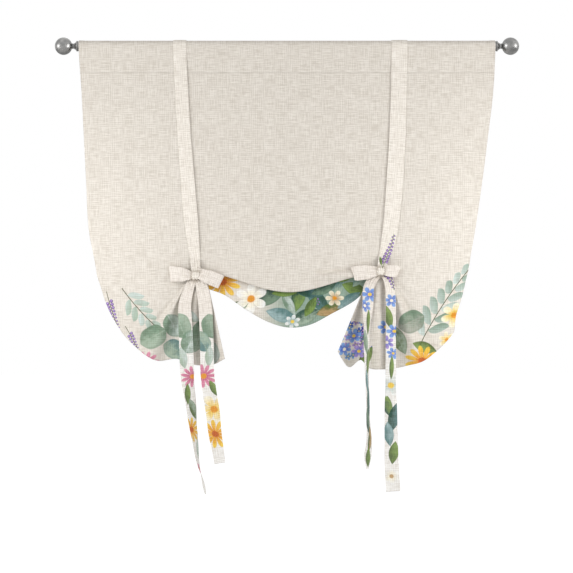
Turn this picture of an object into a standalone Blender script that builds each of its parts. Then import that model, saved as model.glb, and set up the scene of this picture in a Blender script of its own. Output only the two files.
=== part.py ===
"""Tie-up curtain hanging on its rod, drawn up by two straps that are tied in bows.

Metres, +Z up. The origin is the middle of the rod's axis, +X runs along the rod and -Y faces the room.

One linen panel hangs from a rod pocket. On each side a long strap goes over the rod, down the front and
down the back of the panel, and its two ends are tied in a bow at knot height. The cloth below that height
passes through the strap's loop as a flat bundle. Between the bows it hangs as a swag with one deep pleat
behind it, and outside the bows it opens into a fan whose rim is the panel's side hem.
"""

import math

import bmesh
import bpy
import numpy as np
from mathutils import Vector

# Rod and finials
ROD_RADIUS = 0.0127
ROD_WALL = 0.0008
FLANGE_RADIUS = 0.0136
FLANGE_LENGTH = 0.0035
NECK_RADIUS = 0.0062
NECK_LENGTH = 0.0115
BALL_RADIUS = 0.0224
FLARE_INSET = 0.0015
FLANGE_EDGE = 0.0008
SPIGOT_LENGTH = 0.022
ROUND_STEPS = 20
BALL_RINGS = 11

# Cloth
PANEL_WIDTH = 1.067
PANEL_END_GAP = 0.003
PANEL_CLOTH = 0.002
STRAP_CLOTH = 0.0016
SEAT_GAP = 0.0003
POCKET_DEPTH = 0.066
SEAM_HEIGHT = 0.002
SEAM_RISE = 0.0032
SEAM_END_GAP = 0.012
SEAM_INSET = 0.003

# Swag between the bows
PLEAT_RADIUS = 0.004
SWAG_FOLD_SAG = 0.047
SWAG_HEM_SAG = 0.140
# Shares of that sag, evenly spaced from the left bundle to the right one
SWAG_HEM_SHAPE = (0, 0.255, 0.574, 0.847, 0.985, 0.935, 0.72, 0.475, 0)
PLEAT_RISE = 0.155
SWAG_BULGE = 0.012
KNOT_FORWARD = 0.0145
EDGE_FORWARD = 0.002

# Bundle of cloth inside each strap's loop
BUNDLE_HALF = 0.009
BUNDLE_EXIT = 0.0135
BUNDLE_TOP = 0.006
BUNDLE_FOOT = 0.018
FAN_DROP = 0.010
FAN_SLIDE = 0.016

# Folds of the fans
FOLD_DEPTH = 0.013
FOLD_WAVES = 2.5
FOLD_START = 0.46

# Bows
KNOT_WIDTH = 0.020
KNOT_HEIGHT = 0.025
KNOT_DEPTH = 0.014
KNOT_ROUNDING = 0.0045
STRAP_NECKING = 0.032
NECKED_STRAP = 0.016
LOOP_THICKNESS = 0.009
LOOP_STEPS = 14

# Rows down the panel, by stretch
POCKET_ROWS = 4
ROD_ROWS = 6
DROP_ROWS = 9
FAN_ROWS = (8, 18)
PLEAT_ROWS = (2, 4, 6, 4, 10)

# Columns across the panel
FAN_COLUMNS = 10
SWAG_COLUMNS = 14

CLOTH_RADIUS = (ROD_RADIUS + SEAT_GAP + PANEL_CLOTH / 2) / math.cos(math.pi / 2 / ROD_ROWS)
SEAM_Y = SEAM_INSET - CLOTH_RADIUS
ROD_LENGTH = PANEL_WIDTH + 2 * PANEL_END_GAP
FAN_FOOT = BUNDLE_FOOT + FAN_DROP
DEGREE = math.pi / 180


class Side:
    """One side of the curtain. Distances across are from the middle outwards.

    knot is its place across and its height. strap is the strap's place across at the rod, its width and
    how late it bends towards the knot. edge_x is the side hem's place at the knot's height, and edge_shape
    how far it is drawn in to there, evenly spaced from the rod down. rim holds the lengths of the fan's
    rays, evenly spread from the level one down to the hem's.
    """

    def __init__(self, name, sign, knot, strap, edge_x, edge_shape, rim, hem_angle):
        self.name = name
        self.sign = sign
        self.knot_x, self.knot_z = knot
        self.strap_x, self.strap_width, self.strap_bend = strap
        self.edge_x = edge_x
        self.edge_shape = edge_shape
        self.rim = rim
        self.hem_angle = hem_angle


LEFT = Side(
    "left",
    -1,
    knot=(0.2335, -0.588),
    strap=(0.270, 0.034, 1.5),
    edge_x=0.487,
    edge_shape=(0, 0.16, 0.29, 0.42, 0.56, 1),
    rim=(0.240, 0.2288, 0.2266, 0.230, 0.217, 0.206, 0.196),
    hem_angle=108 * DEGREE,
)
RIGHT = Side(
    "right",
    1,
    knot=(0.2390, -0.577),
    strap=(0.288, 0.041, 2.8),
    edge_x=0.465,
    edge_shape=(0, 0.08, 0.275, 0.49, 0.735, 1),
    rim=(0.2125, 0.207, 0.2278, 0.2407, 0.2366, 0.2276, 0.2097),
    hem_angle=118 * DEGREE,
)


def smooth(x):
    """0 below 0, 1 above 1, and an even S between."""
    x = np.clip(x, 0.0, 1.0)
    return x * x * (3 - 2 * x)


def mix(a, b, share):
    return a + (b - a) * share


def through(points, share):
    """A smooth curve through the points, by Catmull-Rom, at a share of their number."""
    points = np.array(points, float)
    at = share * (len(points) - 1)
    k = min(int(at), len(points) - 2)
    t = at - k
    before, start = points[max(k - 1, 0)], points[k]
    end, after = points[k + 1], points[min(k + 2, len(points) - 1)]
    return 0.5 * (
        2 * start
        + (end - before) * t
        + (2 * before - 5 * start + 4 * end - after) * t**2
        + (3 * start - before - 3 * end + after) * t**3
    )


def drop_share(side, z):
    """0 at the rod's axis and 1 at the knot's height."""
    return np.clip(z / side.knot_z, 0.0, 1.0)


def strap_line(side, z):
    """How far out the strap's middle is at height z: straight at first, then drawn in to the knot."""
    return mix(side.strap_x, side.knot_x, drop_share(side, z) ** side.strap_bend)


def side_edge(side, z):
    """How far out the panel's side hem is above the knot's height."""
    drawn_in = float(through(side.edge_shape, drop_share(side, z)))
    return mix(PANEL_WIDTH / 2, side.edge_x, drawn_in)


def front_y(x, z):
    """Depth of the panel's middle surface. It leans out over the bundles and bulges between them."""
    side = LEFT if np.mean(x) < 0 else RIGHT
    share = np.clip(z / side.knot_z, 0.0, 1.15)
    across = np.abs(x) / side.knot_x
    lean = np.where(
        across < 1,
        KNOT_FORWARD,
        mix(KNOT_FORWARD, EDGE_FORWARD, smooth((across - 1) / 1.1)),
    )
    bulge = SWAG_BULGE * np.cos(np.clip(across, 0, 1) * math.pi / 2) ** 2
    return mix(-CLOTH_RADIUS, SEAM_Y, smooth(-z / POCKET_DEPTH)) - share**1.6 * (
        lean + bulge
    )


def column_places():
    """(side, kind, share) of each column, from the left edge to the right one.

    A fan's share is 0 at the bundle and 1 at the side hem. A bundle's share runs from -1 at its inner end
    to 1 at its outer end. The swag's share runs from -1 at the left bundle to 1 at the right one.
    """
    fan = [(k / FAN_COLUMNS) ** 1.25 for k in range(1, FAN_COLUMNS + 1)]
    bundle = [1.0, BUNDLE_HALF / BUNDLE_EXIT, -BUNDLE_HALF / BUNDLE_EXIT, -1.0]
    swag = [
        math.sin(math.pi * (k / SWAG_COLUMNS - 0.5)) for k in range(1, SWAG_COLUMNS)
    ]
    places = [(LEFT, "fan", share) for share in reversed(fan)]
    places += [(LEFT, "bundle", share) for share in bundle]
    places += [(None, "swag", share) for share in swag]
    places += [(RIGHT, "bundle", share) for share in reversed(bundle)]
    places += [(RIGHT, "fan", share) for share in fan]
    return places


def upper_x(side, kind, share, z):
    """Place across of a column above the knot's height."""
    if kind == "fan":
        start = strap_line(side, z) + BUNDLE_EXIT
        return side.sign * mix(start, side_edge(side, z), share)
    if kind == "bundle":
        return side.sign * (strap_line(side, z) + share * BUNDLE_EXIT)
    inner_left = -strap_line(LEFT, z) + BUNDLE_EXIT
    inner_right = strap_line(RIGHT, z) - BUNDLE_EXIT
    return mix(inner_left, inner_right, (share + 1) / 2)


def drop_height(foot, row):
    """Height of a row of the straight drop, row 0 at the rod's axis and the last one at the foot."""
    return foot * (row / DROP_ROWS) ** 1.3


def knot_row(side, share):
    """Height of the row from which the cloth is gathered."""
    if side is None:
        return mix(LEFT.knot_z, RIGHT.knot_z, (share + 1) / 2) + BUNDLE_TOP
    return side.knot_z + BUNDLE_TOP


def upper_rows(side, kind, share):
    """The column's points from the pocket's back hem, over the rod and down to the knot's height."""
    foot = knot_row(side, share)
    points = []
    back_seam = SEAM_Y + PANEL_CLOTH + SEAT_GAP
    for k in range(POCKET_ROWS):
        z = -POCKET_DEPTH * (1 - k / POCKET_ROWS)
        y = mix(CLOTH_RADIUS, back_seam, smooth(-z / POCKET_DEPTH))
        points.append((upper_x(side, kind, share, z), y, z))
    for k in range(ROD_ROWS):
        turn = math.pi * k / ROD_ROWS
        y, z = CLOTH_RADIUS * math.cos(turn), CLOTH_RADIUS * math.sin(turn)
        points.append((upper_x(side, kind, share, 0.0), y, z))
    for k in range(DROP_ROWS):
        z = drop_height(foot, k)
        x = upper_x(side, kind, share, z)
        points.append((x, float(front_y(np.array(x), z)), z))
    return points


def pleat_stage():
    """For each gathered row: its layer, its height's two ends and share, and how far it is round a turn.

    Layer 0 is the front one, 1 lies behind it and 2 carries the hem.
    """
    rows = []
    levels = ["row", "fold", "fold", "rise", "rise", "hem"]
    layers = [0, 0, 1, 1, 2, 2]
    for part, count in enumerate(PLEAT_ROWS):
        for k in range(count):
            share = k / count
            turning = layers[part] != layers[part + 1]
            layer = layers[part] + (
                (1 - math.cos(math.pi * share)) / 2 if turning else 0
            )
            dip = math.sin(math.pi * share) if turning else 0.0
            rows.append((layer, levels[part], levels[part + 1], share, dip))
    rows.append((2, "rise", "hem", 1.0, 0.0))
    return rows


def swag_rows(share):
    """The swag's points below the knot's height: down to the fold, up behind it, and down to the hem."""
    sag = (1 + math.cos(math.pi * share)) / 2
    top = knot_row(None, share)
    knots = top - BUNDLE_TOP
    heights = {
        "row": top,
        "fold": knots - BUNDLE_FOOT / 2 - (SWAG_FOLD_SAG - BUNDLE_FOOT / 2) * sag,
        "rise": knots + PLEAT_RISE * (1 - abs(share) ** 5),
        "hem": knots - mix(BUNDLE_FOOT, SWAG_HEM_SAG, float(through(SWAG_HEM_SHAPE, (share + 1) / 2))),
    }
    gathered = smooth((1 - abs(share)) / 0.16)
    x = upper_x(None, "swag", share, LEFT.knot_z)
    points = []
    rows = pleat_stage()
    for k, (layer, start, end, along, dip) in enumerate(rows):
        turning = start == end
        z = mix(heights[start], heights[end], along)
        if turning:
            z += dip * PLEAT_RADIUS * (-1 if start == "fold" else 1)
        z = mix(bundle_height(k, len(rows), top - BUNDLE_TOP, BUNDLE_FOOT), z, gathered)
        behind = mix(bundle_depth(k, len(rows)), 2 * PLEAT_RADIUS * layer, gathered)
        points.append((x, float(front_y(np.array(x), z)) + behind, z))
    return points


def bundle_depth(row, rows):
    """How far behind the front layer a gathered row lies inside the strap's loop."""
    return 4 * PLEAT_RADIUS * row / (rows - 1)


def bundle_height(row, rows, knot_z, foot):
    """The gathered rows inside the strap's loop, evenly from its top to its foot."""
    return knot_z + mix(BUNDLE_TOP, -foot, row / (rows - 1))


def fan_turn(row):
    """Share of the fan's angle at a gathered row: few rows on the smooth wing, most on the folded part."""
    wing, folded = FAN_ROWS
    if row <= wing:
        return 0.5 * row / wing
    return 0.5 + 0.5 * (row - wing) / folded


def fan_rows(side, share):
    """The fan's points below the knot's height, one ray for each gathered row."""
    rows = pleat_stage()
    points = []
    for k in range(len(rows)):
        turn = fan_turn(k)
        angle = turn * side.hem_angle
        ray = share * float(through(side.rim, turn))
        start_z = bundle_height(k, len(rows), side.knot_z, FAN_FOOT)
        slide = FAN_SLIDE * smooth(share * 8) * smooth((turn - 0.6) / 0.4)
        start_x = side.knot_x + BUNDLE_EXIT - slide
        x = side.sign * (start_x + ray * math.cos(angle))
        z = start_z - ray * math.sin(angle)
        wave = (turn - FOLD_START) / (1 - FOLD_START)
        depth = FOLD_DEPTH * smooth(wave * 4) * math.tanh(ray / 0.09)
        fold = (
            depth * math.sin(2 * math.pi * FOLD_WAVES * max(wave, 0.0))
            if wave > 0
            else 0.0
        )
        held = 1 - float(smooth(ray / 0.12))
        apex_y = float(front_y(np.array(side.sign * side.knot_x), side.knot_z))
        free_y = float(front_y(np.array(x), side.knot_z)) + 0.010 * smooth(wave)
        y = mix(free_y + fold, apex_y + bundle_depth(k, len(rows)), held)
        points.append((x, float(y), z))
    return points


def bundle_rows(side, share):
    """The gathered rows where they pass through the strap's loop."""
    rows = pleat_stage()
    foot = FAN_FOOT if share == 1.0 else BUNDLE_FOOT
    x = side.sign * (side.knot_x + share * BUNDLE_EXIT)
    y = float(front_y(np.array(side.sign * side.knot_x), side.knot_z))
    return [
        (
            x,
            y + bundle_depth(k, len(rows)),
            bundle_height(k, len(rows), side.knot_z, foot),
        )
        for k in range(len(rows))
    ]


def panel_points():
    """The panel's points, one list of rows for each column."""
    columns = []
    for side, kind, share in column_places():
        points = upper_rows(side, kind, share)
        if kind == "fan":
            points += fan_rows(side, share)
        elif kind == "bundle":
            points += bundle_rows(side, share)
        else:
            points += swag_rows(share)
        columns.append(points)
    return columns


def clear_scene():
    for obj in list(bpy.data.objects):
        bpy.data.objects.remove(obj, do_unlink=True)


def collection(name, shown=True):
    made = bpy.data.collections.new(name)
    made.hide_render = not shown
    bpy.context.scene.collection.children.link(made)
    return made


def material(name, colour, roughness, metallic=0.0):
    made = bpy.data.materials.new(name)
    made.use_nodes = True
    shader = made.node_tree.nodes["Principled BSDF"]
    shader.inputs["Base Color"].default_value = (*colour, 1.0)
    shader.inputs["Roughness"].default_value = roughness
    shader.inputs["Metallic"].default_value = metallic
    return made


def sheet_object(name, columns, thickness, look, into):
    """A sheet of cloth: a grid whose vertices are moved to the given columns of points, with Solidify."""
    across, down = len(columns) - 1, len(columns[0]) - 1
    mesh = bpy.data.meshes.new(name)
    shape = bmesh.new()
    bmesh.ops.create_grid(shape, x_segments=across, y_segments=down, size=0.5)
    for vertex in shape.verts:
        column = round((vertex.co.x + 0.5) * across)
        row = round((0.5 - vertex.co.y) * down)
        vertex.co = Vector(columns[column][row])
    shape.to_mesh(mesh)
    shape.free()
    mesh.materials.append(look)
    mesh.shade_smooth()
    made = bpy.data.objects.new(name, mesh)
    into.objects.link(made)
    solid = made.modifiers.new("cloth thickness", "SOLIDIFY")
    solid.thickness = thickness
    solid.offset = 0.0
    solid.use_even_offset = False
    return made


def turned_object(name, profile, look, into):
    """A turned piece: the profile, radius against height, runs down the outer side, and Screw turns it."""
    mesh = bpy.data.meshes.new(name)
    closed = profile[0] != profile[-1] and profile[0][0] > 0
    edges = [(k, k + 1) for k in range(len(profile) - 1)]
    if closed:
        edges.append((len(profile) - 1, 0))
    mesh.from_pydata([(radius, 0.0, height) for radius, height in profile], edges, [])
    mesh.materials.append(look)
    made = bpy.data.objects.new(name, mesh)
    into.objects.link(made)
    screw = made.modifiers.new("turn", "SCREW")
    screw.axis = "Z"
    screw.steps = screw.render_steps = ROUND_STEPS
    screw.use_merge_vertices = True
    screw.merge_threshold = 0.00001
    screw.use_smooth_shade = True
    return made


def rod(look, into):
    """The rod is a plain tube, open at both ends."""
    half = ROD_LENGTH / 2
    bore = ROD_RADIUS - ROD_WALL
    made = turned_object(
        "rod",
        [(ROD_RADIUS, half), (ROD_RADIUS, -half), (bore, -half), (bore, half)],
        look,
        into,
    )
    made.rotation_euler = (0, math.pi / 2, 0)
    return made


def finial_profile():
    """Ball, hollow neck, flange and the spigot that plugs the rod, from the tip inwards."""
    ball_foot = math.sqrt(BALL_RADIUS**2 - NECK_RADIUS**2)
    centre = FLANGE_LENGTH + NECK_LENGTH + ball_foot
    profile = []
    foot_turn = math.pi - math.asin(NECK_RADIUS / BALL_RADIUS)
    for k in range(BALL_RINGS + 1):
        turn = foot_turn * k / BALL_RINGS
        profile.append(
            (BALL_RADIUS * math.sin(turn), centre + BALL_RADIUS * math.cos(turn))
        )
    profile[0] = (0.0, profile[0][1])
    flare = FLANGE_RADIUS - FLARE_INSET
    for k in range(1, 5):
        share = k / 4
        radius = NECK_RADIUS + (flare - NECK_RADIUS) * share**2.4
        profile.append((radius, FLANGE_LENGTH + NECK_LENGTH * (1 - share)))
    profile += [
        (FLANGE_RADIUS - FLANGE_EDGE, FLANGE_LENGTH),
        (FLANGE_RADIUS, FLANGE_LENGTH - FLANGE_EDGE),
        (FLANGE_RADIUS, FLANGE_EDGE),
        (FLANGE_RADIUS - FLANGE_EDGE, SEAT_GAP),
    ]
    spigot = ROD_RADIUS - ROD_WALL - SEAT_GAP
    profile += [
        (spigot, SEAT_GAP),
        (spigot, -SPIGOT_LENGTH),
        (0.0, -SPIGOT_LENGTH),
    ]
    return profile


def finial(side, look, into):
    made = turned_object(f"finial_{side.name}", finial_profile(), look, into)
    made.rotation_euler = (0, side.sign * math.pi / 2, 0)
    made.location.x = side.sign * ROD_LENGTH / 2
    return made


def union(target, other, name):
    joined = target.modifiers.new(name, "BOOLEAN")
    joined.operation = "UNION"
    joined.object = other
    other.display_type = "WIRE"
    other.hide_render = True


def panel(look, into, cutters):
    """The linen panel, with the pocket's stitched seam as a low bar through both layers."""
    made = sheet_object("curtain_panel", panel_points(), PANEL_CLOTH, look, into)
    mesh = bpy.data.meshes.new("pocket_seam")
    shape = bmesh.new()
    bmesh.ops.create_cube(shape, size=1.0)
    shape.to_mesh(mesh)
    shape.free()
    seam = bpy.data.objects.new("pocket_seam", mesh)
    cutters.objects.link(seam)
    seam.scale = (
        PANEL_WIDTH - 2 * SEAM_END_GAP,
        PANEL_CLOTH + SEAT_GAP,
        SEAM_HEIGHT,
    )
    seam.location = (
        0,
        SEAM_Y + PANEL_CLOTH / 2 + SEAT_GAP / 2,
        SEAM_RISE - POCKET_DEPTH,
    )
    union(made, seam, "pocket seam")
    return made


def ribbon(name, line, widths, across_dirs, look, into):
    """A flat strap: its middle line, with its width and the direction of that width at each point."""
    columns = [
        [
            tuple(Vector(p) + Vector(d).normalized() * (w * share))
            for p, w, d in zip(line, widths, across_dirs, strict=True)
        ]
        for share in (-0.5, 0.5)
    ]
    return sheet_object(name, columns, STRAP_CLOTH, look, into)


def strap_front_y(side, z):
    """Depth of the strap's middle where it lies on the panel's front."""
    x = np.array(side.sign * float(strap_line(side, z)))
    lift = PANEL_CLOTH / 2 + SEAT_GAP + STRAP_CLOTH / 2
    return float(front_y(x, z)) - lift


def strap_line_points(side):
    """The strap's middle from the knot, up the front, over the rod, down the back and round the bundle."""
    lift = PANEL_CLOTH / 2 + SEAT_GAP + STRAP_CLOTH / 2
    over = CLOTH_RADIUS + lift
    bundle_y = float(front_y(np.array(side.sign * side.knot_x), side.knot_z))
    back_y = bundle_y + 4 * PLEAT_RADIUS + 2.5 * lift
    knot_y = bundle_y - lift
    foot = side.knot_z - BUNDLE_FOOT - lift
    points = [(side.knot_x, knot_y, side.knot_z + 0.002, NECKED_STRAP + 0.004)]
    heights = [drop_height(side.knot_z + BUNDLE_TOP, k) for k in range(1, DROP_ROWS)]
    heights.append(side.knot_z + STRAP_NECKING)
    for z in reversed(heights):
        width = mix(side.strap_width, KNOT_WIDTH, float(smooth(drop_share(side, z) ** 6)))
        points.append((float(strap_line(side, z)), strap_front_y(side, z), z, width))
    for k in range(7):
        turn = math.pi * (1 - k / 6)
        points.append(
            (
                side.strap_x,
                over * math.cos(turn),
                over * math.sin(turn),
                side.strap_width,
            )
        )
    for k in range(1, 10):
        share = k / 10
        z = side.knot_z * share
        width = mix(side.strap_width, NECKED_STRAP, float(smooth(share**4)))
        points.append(
            (float(strap_line(side, z)), mix(over, back_y, share), z, width)
        )
    for k in range(7):
        turn = math.pi / 2 * k / 6
        points.append(
            (
                side.knot_x,
                back_y - 0.004 * (1 - math.cos(turn)),
                mix(side.knot_z, foot, math.sin(turn)),
                NECKED_STRAP,
            )
        )
    points.append((side.knot_x, mix(back_y - 0.004, knot_y, 0.6), foot, NECKED_STRAP))
    points.append((side.knot_x, knot_y - 0.003, foot + 0.001, NECKED_STRAP))
    points.append((side.knot_x, knot_y - 0.006, side.knot_z - 0.006, NECKED_STRAP))
    return points


def loop_points(knot_y, reach, tilt, near, far):
    """A bow's loop: out in front, round its end and back behind, with its width upright."""
    line, widths, dirs = [], [], []
    for k in range(LOOP_STEPS + 1):
        turn = math.pi * k / LOOP_STEPS
        along = reach * math.sin(turn) ** 0.8
        open_share = 0.45 + 0.55 * smooth(along / reach)
        depth = -LOOP_THICKNESS / 2 * math.cos(turn) * open_share
        line.append((along, knot_y + depth, tilt * along))
        widths.append(mix(near, far, smooth(along / reach)))
        dirs.append((tilt, 0.0, 1.0))
    return line, widths, dirs


def knot_block(side, knot_y, look, into):
    """The knot's wrap: a small block of cloth with well rounded edges."""
    mesh = bpy.data.meshes.new(f"knot_{side.name}")
    shape = bmesh.new()
    bmesh.ops.create_cube(shape, size=1.0)
    shape.to_mesh(mesh)
    shape.free()
    mesh.materials.append(look)
    for vertex in mesh.vertices:
        vertex.co.x *= KNOT_WIDTH
        vertex.co.y *= KNOT_DEPTH
        vertex.co.z *= KNOT_HEIGHT
    made = bpy.data.objects.new(f"knot_{side.name}", mesh)
    into.objects.link(made)
    rounding = made.modifiers.new("rounded edges", "BEVEL")
    rounding.width = KNOT_ROUNDING
    rounding.segments = 3
    made.location = (side.sign * side.knot_x, knot_y, side.knot_z)
    return made


# Each tail hangs by points down its middle: how far out from the knot, in front of it and below it the
# point is, how wide the strap looks there, and by how many degrees its width is turned from the front.
TAILS = {
    "left": (
        [
            (0.002, 0.000, 0.004, 0.018, 0),
            (0.016, 0.005, 0.030, 0.024, 0),
            (0.026, 0.009, 0.073, 0.032, 5),
            (0.0255, 0.009, 0.120, 0.035, 0),
            (0.0230, 0.009, 0.178, 0.036, -5),
            (0.0215, 0.007, 0.225, 0.036, 8),
            (0.0195, 0.003, 0.271, 0.036, 26),
            (0.012, 0.001, 0.322, 0.036, 41),
            (0.007, 0.001, 0.375, 0.036, 57),
            (0.000, 0.000, 0.425, 0.036, 68),
            (-0.007, 0.000, 0.478, 0.036, 82),
            (-0.018, -0.001, 0.520, 0.034, 100),
            (-0.026, -0.002, 0.558, 0.008, 118),
        ],
        [
            (-0.002, 0.001, 0.004, 0.018, 0),
            (-0.015, 0.005, 0.026, 0.030, -8),
            (-0.0245, 0.008, 0.073, 0.034, -4),
            (-0.0275, 0.009, 0.115, 0.035, 4),
            (-0.0295, 0.009, 0.178, 0.035, 0),
            (-0.0305, 0.006, 0.245, 0.035, -5),
            (-0.036, 0.002, 0.297, 0.036, 0),
            (-0.0445, 0.000, 0.350, 0.036, 8),
            (-0.050, 0.000, 0.402, 0.034, 6),
            (-0.0565, 0.000, 0.440, 0.031, 0),
            (-0.0625, 0.000, 0.479, 0.028, 0),
        ],
    ),
    "right": (
        [
            (0.003, 0.000, 0.004, 0.018, 0),
            (0.019, 0.004, 0.022, 0.024, 4),
            (0.025, 0.008, 0.070, 0.025, 0),
            (0.0253, 0.009, 0.120, 0.026, -5),
            (0.0251, 0.009, 0.180, 0.026, 0),
            (0.0251, 0.009, 0.240, 0.027, 5),
            (0.0252, 0.004, 0.300, 0.028, 0),
            (0.0256, 0.001, 0.350, 0.032, -5),
            (0.0265, 0.000, 0.430, 0.034, 0),
            (0.028, 0.000, 0.495, 0.037, 5),
            (0.032, 0.000, 0.562, 0.037, 0),
        ],
        [
            (-0.003, 0.001, 0.004, 0.018, 0),
            (-0.021, 0.005, 0.022, 0.026, -8),
            (-0.0315, 0.008, 0.046, 0.028, -6),
            (-0.033, 0.012, 0.080, 0.030, 20),
            (-0.036, 0.021, 0.136, 0.034, 58),
            (-0.037, 0.023, 0.190, 0.035, 64),
            (-0.036, 0.021, 0.240, 0.036, 70),
            (-0.0345, 0.012, 0.300, 0.036, 74),
            (-0.032, 0.004, 0.380, 0.036, 73),
            (-0.030, 0.000, 0.430, 0.036, 66),
            (-0.033, 0.000, 0.470, 0.032, 52),
            (-0.034, 0.000, 0.504, 0.008, 45),
        ],
    ),
}

LOOPS = {
    # reach, tilt and widths at the knot and at the end, of the outer and the inner loop
    "left": ((0.070, 0.06, 0.023, 0.034), (0.072, -0.24, 0.024, 0.033)),
    "right": ((0.050, -0.03, 0.022, 0.031), (0.073, -0.10, 0.024, 0.038)),
}


def tail(name, side, knot_y, route, look, into, pieces=22):
    line, widths, dirs = [], [], []
    for k in range(pieces + 1):
        out, forward, drop, width, turn = through(route, k / pieces)
        line.append(
            (side.sign * (side.knot_x + out), knot_y - forward, side.knot_z - drop)
        )
        widths.append(width)
        dirs.append((math.cos(turn * DEGREE), math.sin(turn * DEGREE), 0.0))
    return ribbon(name, line, widths, dirs, look, into)


def tie(side, look, into, cutters):
    """One strap with its bow: the loop over the rod, the knot, two loops and two tails, all one piece."""
    route = strap_line_points(side)
    line = [(side.sign * x, y, z) for x, y, z, _ in route]
    widths = [w for *_, w in route]
    strap = ribbon(
        f"tie_{side.name}", line, widths, [(1.0, 0.0, 0.0)] * len(line), look, into
    )
    bundle_y = float(front_y(np.array(side.sign * side.knot_x), side.knot_z))
    lift = PANEL_CLOTH / 2 + SEAT_GAP
    knot_y = bundle_y - lift - KNOT_DEPTH / 2 - STRAP_CLOTH / 2
    knot = knot_block(side, knot_y, look, cutters)
    union(strap, knot, "knot")
    for label, way, shape in zip(
        ("outer", "inner"), (1, -1), LOOPS[side.name], strict=True
    ):
        reach, tilt, near, far = shape
        points, loop_widths, dirs = loop_points(knot_y, reach, tilt, near, far)
        sideways = side.sign * way
        line = [
            (side.sign * side.knot_x + sideways * x, y, side.knot_z + z)
            for x, y, z in points
        ]
        dirs = [(-sideways * x, y, z) for x, y, z in dirs]
        loop = ribbon(
            f"loop_{label}_{side.name}", line, loop_widths, dirs, look, cutters
        )
        union(strap, loop, f"{label} loop")
    for label, tail_route in zip(("outer", "inner"), TAILS[side.name], strict=True):
        made = tail(
            f"tail_{label}_{side.name}",
            side,
            knot_y - 0.002,
            tail_route,
            look,
            cutters,
        )
        union(strap, made, f"{label} tail")
    return strap


def main():
    clear_scene()
    parts = collection("tie_up_curtain")
    cutters = collection("joined_shapes", shown=False)
    linen = material("linen", (0.80, 0.75, 0.68), 0.9)
    strap_linen = material("strap linen", (0.82, 0.77, 0.70), 0.9)
    nickel = material("satin nickel", (0.42, 0.42, 0.42), 0.3, 1.0)
    rod(nickel, parts)
    panel(linen, parts, cutters)
    for side in (LEFT, RIGHT):
        finial(side, nickel, parts)
        tie(side, strap_linen, parts, cutters)


main()
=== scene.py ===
"""Looks of the tie-up curtain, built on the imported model's frame.

Metres, +Z up, +X along the rod and -Y to the front, with the origin in the middle of the rod's axis.
The linen panel, its two straps with their bows, the rod and the finials are grids of points worked out with
numpy. Cloth carries a UV map in metres, which its threads, stitches and print follow.
"""

import math
from functools import partial, partialmethod
from types import SimpleNamespace

import bmesh
import bpy
import numpy as np
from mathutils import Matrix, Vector


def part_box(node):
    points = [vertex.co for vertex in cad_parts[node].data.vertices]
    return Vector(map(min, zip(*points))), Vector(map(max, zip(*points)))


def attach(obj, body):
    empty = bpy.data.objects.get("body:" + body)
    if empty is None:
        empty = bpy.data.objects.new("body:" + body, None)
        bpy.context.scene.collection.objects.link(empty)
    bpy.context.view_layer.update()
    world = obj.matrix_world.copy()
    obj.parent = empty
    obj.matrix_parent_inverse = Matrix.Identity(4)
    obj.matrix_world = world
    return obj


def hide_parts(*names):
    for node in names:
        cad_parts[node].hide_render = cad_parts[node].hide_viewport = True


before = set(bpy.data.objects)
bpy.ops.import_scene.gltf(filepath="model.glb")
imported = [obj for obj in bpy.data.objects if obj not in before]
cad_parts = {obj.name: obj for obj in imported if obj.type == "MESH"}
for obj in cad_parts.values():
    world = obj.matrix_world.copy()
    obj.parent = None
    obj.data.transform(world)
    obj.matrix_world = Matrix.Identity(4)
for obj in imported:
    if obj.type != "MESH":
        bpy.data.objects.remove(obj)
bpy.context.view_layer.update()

# Sizes that the frame gives
ROD_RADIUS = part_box("rod")[1].z
ROD_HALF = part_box("rod")[1].x
PANEL_WIDTH = 2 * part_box("curtain_panel")[1].x
FINIAL_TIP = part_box("finial_right")[1].x
BALL_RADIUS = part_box("finial_right")[1].z

# Cloth
PANEL_CLOTH = 0.0010
HEM_CLOTH = 0.0024
HEM_WIDTH = 0.012
HEM_STEP = 0.002
STRAP_CLOTH = 0.0016
SEAT_GAP = 0.0003
POCKET_DEPTH = 0.066

# Swag between the bows
PLEAT_RADIUS = 0.004
FOLD_ENDS = (-0.577, -0.583)
FOLD_SAG = 0.0465
HEM_SAG = 0.140
# Shares of that sag, evenly spaced from the left bundle to the right one
HEM_SHAPE = (0, 0.145, 0.509, 0.82, 0.986, 0.934, 0.68, 0.40, 0)
PLEAT_RISE = 0.155
SWAG_BULGE = 0.012
KNOT_FORWARD = 0.0145
EDGE_FORWARD = 0.002

# Bundle of cloth inside each strap's loop
BUNDLE_EXIT = 0.0135
BUNDLE_TOP = 0.006
BUNDLE_FOOT = 0.009
BUNDLE_DEPTH = 0.009
SWAG_TOP = 0.020
SWAG_FOOT = 0.034
FAN_SLIDE = 0.0425

# Folds of the fans
FOLD_DEPTH = 0.011
FOLD_WAVES = 2.75
FOLD_START = 0.46
FAN_FORWARD = 0.003

# Bows
KNOT_SIZE = (0.0215, 0.017, 0.0225)
NECKED_STRAP = 0.016
LOOP_THICKNESS = 0.012
EDGE_LIFT = 0.0036
STRAP_END = 0.004
STRAP_TUCK = 0.0034
STITCHES_AT = 0.84
STITCH_DIP = 0.45
GATHER_HEIGHT = 0.0013
NECK_START = 0.048
NECK_LENGTH = 0.036
NECK_GATHERS = 0.0011
GATHERS_START = 0.075
GATHERS_LENGTH = 0.055
BEHIND_BUNDLE = 0.004

# Thicker threads
WEFT_PITCH = 0.0050
WARP_PITCH = 0.0053

# Metal
RINGS_PER_METRE = 2600.0
ROD_WALL = 0.0008
CHAMFER = 0.0003

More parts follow.
